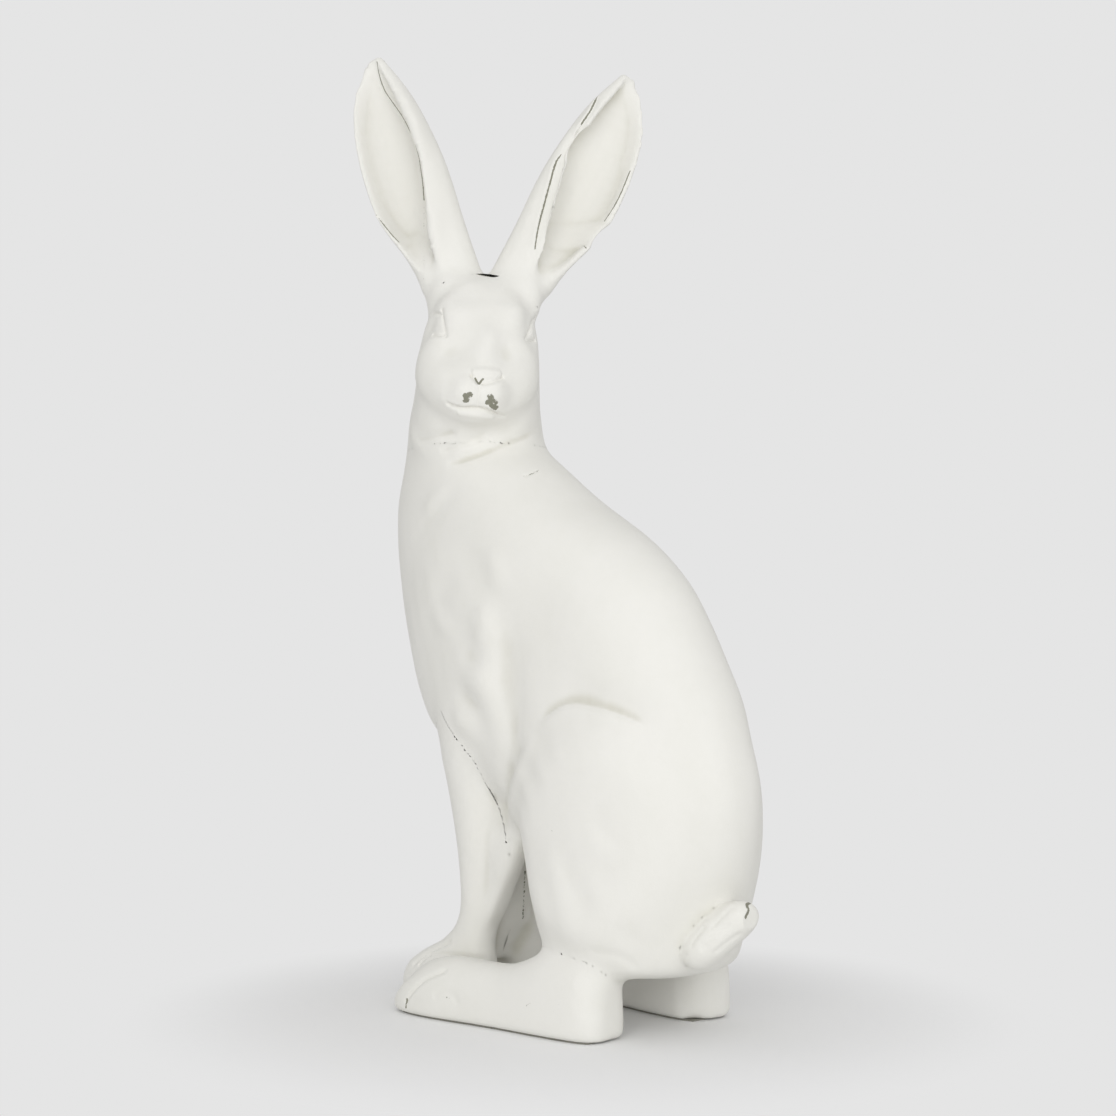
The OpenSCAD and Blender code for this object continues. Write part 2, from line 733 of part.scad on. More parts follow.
torso();
head();
ear(1);  // left_ear
ear(-1);  // right_ear
foreleg(1);  // left_foreleg
foreleg(-1);  // right_foreleg
hind_foot(1);  // left_hind_foot
hind_foot(-1);  // right_hind_foot
tail();
neck_dowel();
ear_rod(1);  // left_ear_rod
ear_rod(-1);  // right_ear_rod
foreleg_rod(1);  // left_foreleg_rod
foreleg_rod(-1);  // right_foreleg_rod
heel_pin(1);  // left_heel_pin
heel_pin(-1);  // right_heel_pin
tail_pin();
vent_plug();
hind_pad(1);  // left_hind_pad
hind_pad(-1);  // right_hind_pad
fore_pad(1);  // left_fore_pad
fore_pad(-1);  // right_fore_pad
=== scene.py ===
"""The sitting hare figurine, modelled and painted around its packed castings.

The castings are fused into one fine skin, and filler is worked into their joints. The carver's strokes are
worked into that skin, which is then parted again into the pieces that the figurine is cast in. Lengths are
millimetres in the row frame, unless a name ends in _m. Strokes have their places in the photograph's pixels.
"""

import logging
import math
from dataclasses import dataclass, fields
from enum import Enum
from typing import ClassVar, Sequence

import bmesh
import bpy
import numpy as np
from bmesh.types import BMVert, BMesh
from bpy.types import ID, Material, Mesh, Node, NodeSocket, NodeTree, Object
from mathutils import Matrix, Vector
from mathutils.bvhtree import BVHTree


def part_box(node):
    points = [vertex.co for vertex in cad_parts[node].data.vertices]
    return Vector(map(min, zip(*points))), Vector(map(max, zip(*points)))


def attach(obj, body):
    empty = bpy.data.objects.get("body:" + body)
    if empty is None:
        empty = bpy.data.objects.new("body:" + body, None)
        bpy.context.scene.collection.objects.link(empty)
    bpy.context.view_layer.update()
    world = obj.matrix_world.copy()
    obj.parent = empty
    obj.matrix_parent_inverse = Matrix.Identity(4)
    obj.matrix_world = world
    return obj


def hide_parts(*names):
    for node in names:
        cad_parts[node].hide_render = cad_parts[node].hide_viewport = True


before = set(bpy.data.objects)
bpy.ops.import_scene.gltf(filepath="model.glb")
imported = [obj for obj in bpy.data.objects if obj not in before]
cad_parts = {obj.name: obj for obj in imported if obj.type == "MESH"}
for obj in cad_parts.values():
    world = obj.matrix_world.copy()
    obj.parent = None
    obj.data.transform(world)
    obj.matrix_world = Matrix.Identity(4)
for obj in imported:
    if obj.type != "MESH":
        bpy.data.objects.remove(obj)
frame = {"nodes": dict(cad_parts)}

LOG = logging.getLogger("hare")
MM = 0.001
MERGE_M = 1e-6
TINY = 1e-9
PHOTO_PIXELS = 1116
Line = tuple[tuple[float, float], ...]


class Casting(Enum):
    """The castings whose visible skin this file makes, by the name of their node."""

    TORSO = "torso"
    HEAD = "head"
    LEFT_EAR = "left_ear"
    RIGHT_EAR = "right_ear"
    LEFT_FORELEG = "left_foreleg"
    RIGHT_FORELEG = "right_foreleg"
    LEFT_HIND_FOOT = "left_hind_foot"
    RIGHT_HIND_FOOT = "right_hind_foot"
    TAIL = "tail"

    @property
    def number(self) -> int:
        """Place of the casting in the list, as it is kept on the skin."""
        return list(Casting).index(self)


@dataclass(frozen=True)
class CameraSetup:
    """Where the photograph was taken from, measured from the middle of the neck joint.

    Args:
        offset: camera place from the neck dowel's middle, but for its height, which is from the ground.
        focal_px: focal length in pixels of the photograph.
        sensor: width of the camera's sensor.
        view_end_m: how far the camera sees.
    """

    offset: tuple[float, float, float] = (1042.4, 1120.5, 286.0)
    focal_px: float = 2333.0
    sensor: float = 36.0
    view_end_m: float = 30.0


@dataclass(frozen=True)
class PaintFinish:
    """Worn off-white paint over a grey-olive undercoat.

    Args:
        light: colour of the cleanest paint.
        shade: colour of the paint where it is thin or dirty.
        undercoat: colour that shows where the paint has chipped off.
        grime_and_shade: colour painted into hollows, partly for the grime that settles there and partly as
            painted shade in the creases.
        roughness: roughness of sound paint.
        gloss: how strongly it reflects.
        patches, streaks, mottling, grain, tearing: its noises, each with its waves to the metre, its number
            of finer layers and their strength; tearing makes the chips ragged.
        streak_stretch: how the streaks are drawn out along each axis.
        chip_edge: wear at which a chip begins and where it is bare.
        relief_m: real height of its relief, in metres.
        relief_share: share of the relief that shows.
    """

    light: tuple[float, float, float] = (0.860, 0.850, 0.808)
    shade: tuple[float, float, float] = (0.820, 0.812, 0.760)
    undercoat: tuple[float, float, float] = (0.250, 0.248, 0.195)
    # Grime that is also painted shade: it darkens the hollows by their depth.
    grime_and_shade: tuple[float, float, float] = (0.66, 0.645, 0.565)
    roughness: float = 0.6
    gloss: float = 0.35
    patches: tuple[float, float, float] = (9.0, 4.0, 0.6)
    streaks: tuple[float, float, float] = (34.0, 5.0, 0.65)
    mottling: tuple[float, float, float] = (160.0, 5.0, 0.7)
    grain: tuple[float, float, float] = (900.0, 4.0, 0.6)
    tearing: tuple[float, float, float] = (420.0, 4.0, 0.7)
    streak_stretch: tuple[float, float, float] = (1.0, 1.0, 0.45)
    chip_edge: tuple[float, float] = (0.50, 0.66)
    relief_m: float = 0.0006
    relief_share: float = 0.32


@dataclass(frozen=True)
class PlainFinish:
    """A finish for a small part under or inside the castings.

    Args:
        color: base colour.
        roughness: surface roughness.
        metallic: 1 for bare metal.
        grain: size of the grain, in grains to the metre.
        bump: strength of the grain.
        relief_m: real height of the grain, in metres.
    """

    color: tuple[float, float, float]
    roughness: float
    metallic: float
    grain: float
    bump: float
    relief_m: float = 0.0004


def eased(x: np.ndarray) -> np.ndarray:
    """Rises smoothly from 0 to 1.

    Args:
        x: values; below 0 gives 0 and above 1 gives 1.

    Returns:
        The eased values.
    """
    t = np.clip(x, 0.0, 1.0)
    return t * t * (3.0 - 2.0 * t)


def rounded(corners: np.ndarray) -> np.ndarray:
    """Rounds the corners of a line and keeps its ends.

    Args:
        corners: the line's corners.

    Returns:
        A finer line.
    """
    line = corners
    for _ in range(2):
        if len(line) < 3:
            return line
        cut = [line[0]]
        for a, b in zip(line[:-1], line[1:]):
            cut.extend((0.75 * a + 0.25 * b, 0.25 * a + 0.75 * b))
        cut.append(line[-1])
        line = np.array(cut)
    return line


def placed(name: str, data: ID) -> Object:
    """Adds an object to the scene.

    Args:
        name: the object's name.
        data: its mesh, camera or lamp.

    Returns:
        The object.
    """
    obj = bpy.data.objects.new(name, data)
    bpy.context.scene.collection.objects.link(obj)
    return obj


def finished(bm: BMesh, name: str) -> Mesh:
    """Turns a mesh that was being worked on into a plain one.

    Args:
        bm: the mesh; it is freed.
        name: the plain mesh's name.

    Returns:
        The plain mesh.
    """
    mesh = bpy.data.meshes.new(name)
    bm.to_mesh(mesh)
    bm.free()
    return mesh


def patches(count: int, links: np.ndarray) -> np.ndarray:
    """Groups all that is linked.

    Args:
        count: how many things there are.
        links: pairs of things that are linked.

    Returns:
        The lowest number in the group of each.
    """
    patch = np.arange(count)
    while True:
        lower = patch.copy()
        np.minimum.at(lower, links[:, 0], patch[links[:, 1]])
        np.minimum.at(lower, links[:, 1], patch[links[:, 0]])
        lower = lower[lower]
        if (lower == patch).all():
            return patch
        patch = lower


def corners_of(node: Object) -> np.ndarray:
    """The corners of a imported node, in millimetres."""
    return np.array([v.co[:] for v in node.data.vertices]) / MM


def merged_copy(node: Object, name: str) -> Mesh:
    """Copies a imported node's mesh, with its loose triangles joined.

    Args:
        node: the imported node.
        name: the copy's name.

    Returns:
        The copy.
    """
    bm = bmesh.new()
    bm.from_mesh(node.data)
    bmesh.ops.remove_doubles(bm, verts=bm.verts, dist=MERGE_M)
    return finished(bm, name)


def flattened(obj: Object) -> Mesh:
    """Works an object's modifiers into a plain mesh.

    Args:
        obj: the object; it is removed.

    Returns:
        The mesh.
    """
    bpy.context.view_layer.update()
    graph = bpy.context.evaluated_depsgraph_get()
    mesh = bpy.data.meshes.new_from_object(obj.evaluated_get(graph))
    bpy.data.objects.remove(obj)
    return mesh


class Eye:
    """The photograph's camera, which also casts the carver's lines onto the figure."""

    def __init__(self, setup: CameraSetup) -> None:
        """Places the camera by the neck dowel.

        Args:
            setup: where the camera stands and its focal length.
        """
        low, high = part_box("neck_dowel")
        neck = (low + high) / 2 / MM
        east, north, height = setup.offset
        self.setup = setup
        self.place = np.array([neck.x + east, neck.y + north, height])
        self.mid_x = neck.x
        diagonal = math.sqrt(0.5)
        self.look = np.array([-diagonal, -diagonal, 0.0])
        self.right = np.array([-diagonal, diagonal, 0.0])
        self.up = np.array([0.0, 0.0, 1.0])

    def ray(self, pixel: Sequence[float]) -> np.ndarray:
        """Direction from the camera through a pixel.

        Args:
            pixel: column and row in the photograph.

        Returns:
            The unit direction.
        """
        half = PHOTO_PIXELS / 2
        across = (pixel[0] - half) / self.setup.focal_px
        rise = (half - pixel[1]) / self.setup.focal_px
        line = self.look + across * self.right + rise * self.up
        return line / np.linalg.norm(line)

    def make_camera(self) -> None:
        """Adds the scene's camera at the photograph's place."""
        data = bpy.data.cameras.new("photo_camera")
        data.sensor_fit = "HORIZONTAL"
        data.sensor_width = self.setup.sensor
        data.lens = self.setup.focal_px / PHOTO_PIXELS * self.setup.sensor
        data.clip_end = self.setup.view_end_m
        camera = placed("photo_camera", data)
        camera.location = Vector(self.place) * MM
        camera.rotation_euler = Vector(self.look).to_track_quat("-Z", "Y").to_euler()
        bpy.context.scene.camera = camera


class Skin:
    """The figure's whole outer surface as arrays, in millimetres.

    Filler lets what stands out settle by a small share, and reads the skin's facing again every few rounds.
    """

    settling = 0.08
    facing_rounds = 8

    def __init__(self, mesh: Mesh) -> None:
        """Reads a closed mesh of triangles and quads.

        Args:
            mesh: the mesh, in metres.
        """
        co = np.zeros(len(mesh.vertices) * 3, np.float32)
        mesh.vertices.foreach_get("co", co)
        self.co = co.reshape(-1, 3).astype(float) / MM
        corners = [tuple(p.vertices) for p in mesh.polygons]
        self.quads = np.array([p if len(p) == 4 else (*p, p[2]) for p in corners], np.int64)
        self.labels = np.zeros(len(self.co), int)
        self.link()

    def link(self) -> None:
        """Works out the edges again after the corners have changed; a triangle's last corner stands twice."""
        q = self.quads
        pairs = np.concatenate([q[:, [0, 1]], q[:, [1, 2]], q[:, [2, 3]], q[:, [3, 0]]])
        pairs = np.sort(pairs[pairs[:, 0] != pairs[:, 1]], axis=1)
        self.edges = np.unique(pairs, axis=0)
        self.degree = np.maximum(np.bincount(self.edges.ravel(), minlength=len(self.co)), 1).astype(float)
        self.wear = np.zeros(len(self.co))
        self.hollow = np.zeros(len(self.co))

    def normals(self) -> np.ndarray:
        """Outward unit normal of each vertex."""
        q = self.quads
        cross = np.cross(self.co[q[:, 2]] - self.co[q[:, 0]], self.co[q[:, 3]] - self.co[q[:, 1]])
        out = np.zeros_like(self.co)
        for corner in range(4):
            for axis in range(3):
                out[:, axis] += np.bincount(q[:, corner], cross[:, axis], len(self.co))
        return out / np.maximum(np.linalg.norm(out, axis=1), TINY)[:, None]

    def averaged(self, values: np.ndarray) -> np.ndarray:
        """Mean of each vertex's neighbours.

        Args:
            values: one number or one row for each vertex.

        Returns:
            The means, in the same shape.
        """
        columns = values.reshape(len(self.co), -1)
        out = np.empty(columns.shape)
        a, b = self.edges[:, 0], self.edges[:, 1]
        for axis in range(columns.shape[1]):
            out[:, axis] = np.bincount(a, columns[b, axis], len(self.co))
            out[:, axis] += np.bincount(b, columns[a, axis], len(self.co))
        return (out / self.degree[:, None]).reshape(values.shape)

    def blurred(self, values: np.ndarray, rounds: int) -> np.ndarray:
        """Spreads values over the skin.

        Args:
            values: one number for each vertex.
            rounds: how often to spread them by one vertex.

        Returns:
            The softened values.
        """
        for _ in range(rounds):
            values = 0.5 * (values + self.averaged(values))
        return values

    def relax(self, rounds: int, weight: np.ndarray) -> None:
        """Smooths the skin.

        Args:
            rounds: how often to smooth.
            weight: how strongly each vertex follows its neighbours, from 0 to 1.
        """
        share = 0.5 * weight[:, None]
        for _ in range(rounds):
            self.co = self.co + share * (self.averaged(self.co) - self.co)

    def smooth(self, rounds: int, weight: np.ndarray, spread: int) -> None:
        """Smooths the skin and gives its broad forms back what they lost.

        Args:
            rounds: how often to smooth.
            weight: how strongly each vertex follows its neighbours, from 0 to 1.
            spread: over how many rounds the lost height is spread before it is given back.
        """
        before = self.co
        self.relax(rounds, weight)
        normals = self.normals()
        lost = np.einsum("ij,ij->i", before - self.co, normals)
        self.co = self.co + self.blurred(lost, spread)[:, None] * normals

    def fill(self, rounds: int, weight: np.ndarray) -> None:
        """Fills creases with filler and leaves what stands out as it is.

        Args:
            rounds: how often to add filler.
            weight: how much filler each vertex takes, from 0 to 1.
        """
        for step in range(rounds):
            if step % self.facing_rounds == 0:
                normals = self.normals()
            away = self.averaged(self.co) - self.co
            rise = np.einsum("ij,ij->i", away, normals)
            rise = np.where(rise > 0, rise, self.settling * rise)
            self.co = self.co + 0.5 * (weight * rise)[:, None] * normals

    def refine(self, faces: np.ndarray) -> None:
        """Parts the chosen faces into four and fits their neighbours to them.

        Args:
            faces: True for each face to part.
        """
        q = self.quads
        triangle = q[:, 3] == q[:, 2]
        sides = np.stack([q, np.roll(q, -1, axis=1)], axis=2)
        sides[triangle, 2, 1] = q[triangle, 0]
        sides[triangle, 3, :] = -1
        keys = np.sort(sides, axis=2)
        code = keys[:, :, 0] * len(self.co) + keys[:, :, 1]
        split = np.unique(code[faces][keys[faces][:, :, 0] >= 0])
        touched = np.isin(code, split) & (keys[:, :, 0] >= 0)
        fan = touched.any(axis=1) | faces
        ends = np.stack([split // len(self.co), split % len(self.co)], axis=1)
        first_center = len(self.co) + len(split)
        centers = np.where(triangle[:, None], self.co[q[:, :3]].mean(1), self.co[q].mean(1))[fan]
        mids = self.co[ends].mean(1)
        mid_of = len(self.co) + np.searchsorted(split, code)
        center_of = np.full(len(q), -1)
        center_of[fan] = first_center + np.arange(fan.sum())
        self.co = np.concatenate([self.co, mids, centers])
        self.labels = np.concatenate([self.labels, self.labels[ends[:, 0]], self.labels[q[fan, 0]]])
        made = [q[~fan]]
        for side in range(4):
            row = np.nonzero(fan & ~(triangle & (side == 3)))[0]
            into = np.where(triangle[row], 2, 3) if side == 0 else np.full(len(row), side - 1)
            start, center = q[row, side], center_of[row]
            has_next, has_before = touched[row, side], touched[row, into]
            next_mid, before_mid = mid_of[row, side], mid_of[row, into]
            follower = sides[row, side, 1]
            for corners, use in (((start, next_mid, center, before_mid), has_next & has_before),
                                 ((start, next_mid, center, center), has_next & ~has_before),
                                 ((start, center, before_mid, before_mid), ~has_next & has_before),
                                 ((start, follower, center, center), ~has_next)):
                made.append(np.stack(corners, axis=1)[use])
        self.quads = np.concatenate(made)
        self.link()

    def tree(self) -> BVHTree:
        """A search tree over the faces."""
        polygons = [tuple(p[:3]) if p[2] == p[3] else tuple(p) for p in self.quads.tolist()]
        return BVHTree.FromPolygons([tuple(c) for c in self.co.tolist()], polygons)


class SkinBuilder:
    """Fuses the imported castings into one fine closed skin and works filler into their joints.

    A joint has the castings on its two sides, the rounds over which filler spreads, and its share of filler.
    """

    voxel = 1.6
    facet_rounds = 32
    form_rounds = 60
    filler_rounds = 130
    joint_strength = 1.6
    web_low = 26.0
    web_high = 150.0
    web_levels = 14
    web_reach = 8.0
    web_share = 0.4
    stifle_low = 30.0
    stifle_knee = 115.0
    stifle_high = 152.0
    stifle_half = 8.0
    stifle_reach = 44.0
    throat_low = 12.0
    throat_front = 13.0
    throat_radii = (41.0, 38.0, 38.0)
    head_turn = 45.0
    joints = (((Casting.HEAD,), (Casting.LEFT_EAR, Casting.RIGHT_EAR), 170, 1.0),
              ((Casting.TORSO,), (Casting.LEFT_FORELEG, Casting.RIGHT_FORELEG), 150, 1.0),
              ((Casting.TORSO,), (Casting.HEAD,), 170, 1.0),
              ((Casting.TORSO,), (Casting.LEFT_HIND_FOOT, Casting.RIGHT_HIND_FOOT), 60, 1.0),
              ((Casting.TORSO,), (Casting.TAIL,), 12, 0.35))
    softness = {Casting.TORSO: 1.0, Casting.HEAD: 0.8, Casting.TAIL: 0.4, Casting.LEFT_EAR: 0.12,
                Casting.RIGHT_EAR: 0.12}
    other_softness = 0.7
    softness_spread = 6

    def __init__(self, nodes: dict[str, Object]) -> None:
        """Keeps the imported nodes, by name."""
        self.nodes = nodes

    def build(self) -> Skin:
        """Makes the skin and labels each vertex with its casting.

        Returns:
            The skin, smoothed over the castings' facets.
        """
        castings = [c.value for c in Casting]
        inner = [name for name in self.nodes if name not in castings and not name.endswith("_pad")]
        skin = Skin(self._outer(self._remeshed(self._fused(castings + inner))))
        self._label(skin)
        self._fill_joints(skin)
        self._smooth(skin)
        corners = np.concatenate([corners_of(self.nodes[name]) for name in castings])
        skin.co = np.clip(skin.co, corners.min(0), corners.max(0))
        LOG.info("fused skin: %d vertices", len(skin.co))
        return skin

    def _fused(self, names: Sequence[str]) -> Object:
        """Copies the named nodes into one object.

        Args:
            names: nodes to copy.

        Returns:
            The object that holds all the copies.
        """
        joined = bmesh.new()
        for name in names:
            mesh = merged_copy(self.nodes[name], "copy")
            joined.from_mesh(mesh)
            bpy.data.meshes.remove(mesh)
        self._add_web(joined)
        self._add_stifles(joined)
        self._add_throat(joined)
        return placed("fused", finished(joined, "fused"))

    def _add_web(self, bm: BMesh) -> None:
        """Adds the thin web of resin that closes the gap between the two forelegs.

        Args:
            bm: the fused castings.
        """
        legs = [corners_of(self.nodes[f"{side}_foreleg"]) for side in ("left", "right")]
        rings: list[list[BMVert]] = []
        for z in np.linspace(self.web_low, self.web_high, self.web_levels):
            near = [leg[np.abs(leg[:, 2] - z) < self.web_reach] for leg in legs]
            middles = [(ring.min(0) + ring.max(0)) / 2 for ring in near]
            half = self.web_share / 2 * (near[0][:, 1].max() - near[0][:, 1].min())
            left, right = middles
            corners = ((left, -half), (left, half), (right, half), (right, -half))
            rings.append([bm.verts.new(Vector((m[0], m[1] + way, z)) * MM) for m, way in corners])
        faces = [bm.faces.new(rings[0]), bm.faces.new(rings[-1][::-1])]
        for low, high in zip(rings[:-1], rings[1:]):
            for k in range(4):
                faces.append(bm.faces.new((low[k], high[k], high[(k + 1) % 4], low[(k + 1) % 4])))
        bmesh.ops.recalc_face_normals(bm, faces=faces)

    def _add_stifles(self, bm: BMesh) -> None:
        """Adds the resin that joins each foreleg to the knee behind it.

        Args:
            bm: the fused castings.
        """
        for side in ("left", "right"):
            leg = corners_of(self.nodes[f"{side}_foreleg"])
            near = leg[(leg[:, 2] > self.stifle_knee) & (leg[:, 2] < self.stifle_high)]
            middle = (near.min(0) + near.max(0)) / 2
            x, y = middle[:2]
            low = Vector((x - self.stifle_half, y, self.stifle_low)) * MM
            high = Vector((x + self.stifle_half, y + self.stifle_reach, self.stifle_high)) * MM
            for vert in bmesh.ops.create_cube(bm, size=1.0)["verts"]:
                slanted = vert.co.y > 0 > vert.co.z
                vert.co = Vector(low[k] if vert.co[k] < 0 else high[k] for k in range(3))
                vert.co.z = self.stifle_knee * MM if slanted else vert.co.z

    def _add_throat(self, bm: BMesh) -> None:
        """Adds the filler under the jaw, on the side to which the head is turned.

        Args:
            bm: the fused castings.
        """
        dowel = corners_of(self.nodes["neck_dowel"])
        turned = Matrix.Rotation(math.radians(self.head_turn), 4, "Z")
        ahead = turned @ Vector((self.throat_front, 0, self.throat_low))
        middle = Vector((dowel.min(0) + dowel.max(0)) / 2) + ahead
        side, front, tall = self.throat_radii
        for vert in bmesh.ops.create_uvsphere(bm, u_segments=48, v_segments=32, radius=1.0)["verts"]:
            vert.co = (middle + turned @ Vector((vert.co.x * front, vert.co.y * side, vert.co.z * tall))) * MM

    def _remeshed(self, obj: Object) -> Mesh:
        """Rebuilds an object's surface from small cubes.

        Args:
            obj: the object; it is removed.

        Returns:
            The new mesh.
        """
        modifier = obj.modifiers.new("remesh", "REMESH")
        modifier.mode = "VOXEL"
        modifier.voxel_size = self.voxel * MM
        modifier.adaptivity = 0.0
        return flattened(obj)

    @staticmethod
    def _outer(mesh: Mesh) -> Mesh:
        """Keeps only the largest connected shell of a mesh.

        Args:
            mesh: the mesh, changed in place.

        Returns:
            The same mesh.
        """
        pairs = np.zeros(len(mesh.edges) * 2, np.int32)
        mesh.edges.foreach_get("vertices", pairs)
        shell = patches(len(mesh.vertices), pairs.reshape(-1, 2))
        largest = np.bincount(shell).argmax()
        bm = bmesh.new()
        bm.from_mesh(mesh)
        bmesh.ops.delete(bm, geom=[v for v, s in zip(bm.verts, shell) if s != largest], context="VERTS")
        bm.to_mesh(mesh)
        bm.free()
        return mesh

    def _label(self, skin: Skin) -> None:
        """Gives each vertex the number of the casting it lies on.

        Args:
            skin: the skin; its labels are set.
        """
        corners: list[Vector] = []
        triangles: list[tuple[int, ...]] = []
        owner: list[int] = []
        for casting in Casting:
            mesh = self.nodes[casting.value].data
            base = len(corners)
            corners.extend(v.co / MM for v in mesh.vertices)
            triangles.extend(tuple(base + i for i in p.vertices) for p in mesh.polygons)
            owner.extend([casting.number] * len(mesh.polygons))
        tree = BVHTree.FromPolygons(corners, triangles)
        skin.labels = np.array([owner[tree.find_nearest(Vector(c))[2]] for c in skin.co])

    def _fill_joints(self, skin: Skin) -> None:
        """Works filler into the creases where castings meet.

        Args:
            skin: the skin.
        """
        weight = np.zeros(len(skin.co))
        for one, other, spread, share in self.joints:
            weight = np.maximum(weight, share * self._joint(skin, one, other, spread))
        skin.fill(self.filler_rounds, weight)

    @classmethod
    def _joint(cls, skin: Skin, one: Sequence[Casting], other: Sequence[Casting], spread: int) -> np.ndarray:
        """How near each vertex lies to the joint of two groups of castings.

        Args:
            skin: the skin.
            one: castings on one side of the joint.
            other: castings on its other side.
            spread: how many vertices' rounds the joint reaches outward.

        Returns:
            1 at the joint, falling to 0 away from it.
        """
        first = np.isin(skin.labels[skin.edges], [c.number for c in one])
        second = np.isin(skin.labels[skin.edges], [c.number for c in other])
        across = (first[:, 0] & second[:, 1]) | (first[:, 1] & second[:, 0])
        mark = np.zeros(len(skin.co))
        mark[skin.edges[across].ravel()] = 1.0
        on_joint = mark > 0
        if not on_joint.any():
            return mark
        spreading = skin.blurred(mark, spread)
        return np.clip(cls.joint_strength * spreading / spreading[on_joint].mean(), 0.0, 1.0)

    def _smooth(self, skin: Skin) -> None:
        """Smooths the castings' facets away, less where a form is thin.

        Args:
            skin: the skin.
        """
        by_number = np.array([self.softness.get(casting, self.other_softness) for casting in Casting])
        weight = skin.blurred(by_number[skin.labels], self.softness_spread)
        skin.smooth(self.facet_rounds, weight, self.form_rounds)


class Sides(Enum):
    """On which sides of the hare a form is carved."""

    SEEN = "seen"
    BOTH = "both"


class Form(Enum):
    """What the carver does: sands before carving, raises a swell, a fold or a step, or wears the paint."""

    SAND = "sand"
    SWELL = "swell"
    FOLD = "fold"
    STEP = "step"
    WEAR = "wear"

    def along(self, width: float, height: float, *places: Line | tuple[float, float],
              sides: Sides = Sides.SEEN) -> "Stroke":
        """A stroke of this form, with its places one by one."""
        return Stroke(self, width, height, places, sides)


@dataclass(frozen=True)
class Stroke:
    """One form that the carver works alike at each of its places.

    Args:
        form: what it does.
        width: half its width, or half the width of a step's slope.
        height: how far it rises, or half of that for a step; below zero it is sunk. For sanding this is how
            often it is done, and for wear how worn the paint is, from 0 to 1.
        places: lines in pixels of the photograph, or a swell's middles. A step rises on the right hand of one
            who walks along its line.
        sides: on which sides of the hare.
    """

    form: Form
    width: float
    height: float
    places: tuple[Line | tuple[float, float], ...]
    sides: Sides


@dataclass(frozen=True)
class Cut:
    """One line on the skin that the carver works along.

    Args:
        line: its points.
        facing: the way that the skin faces there; skin that faces away is left alone.
        stroke: what is worked there.
    """

    line: np.ndarray
    facing: np.ndarray
    stroke: Stroke


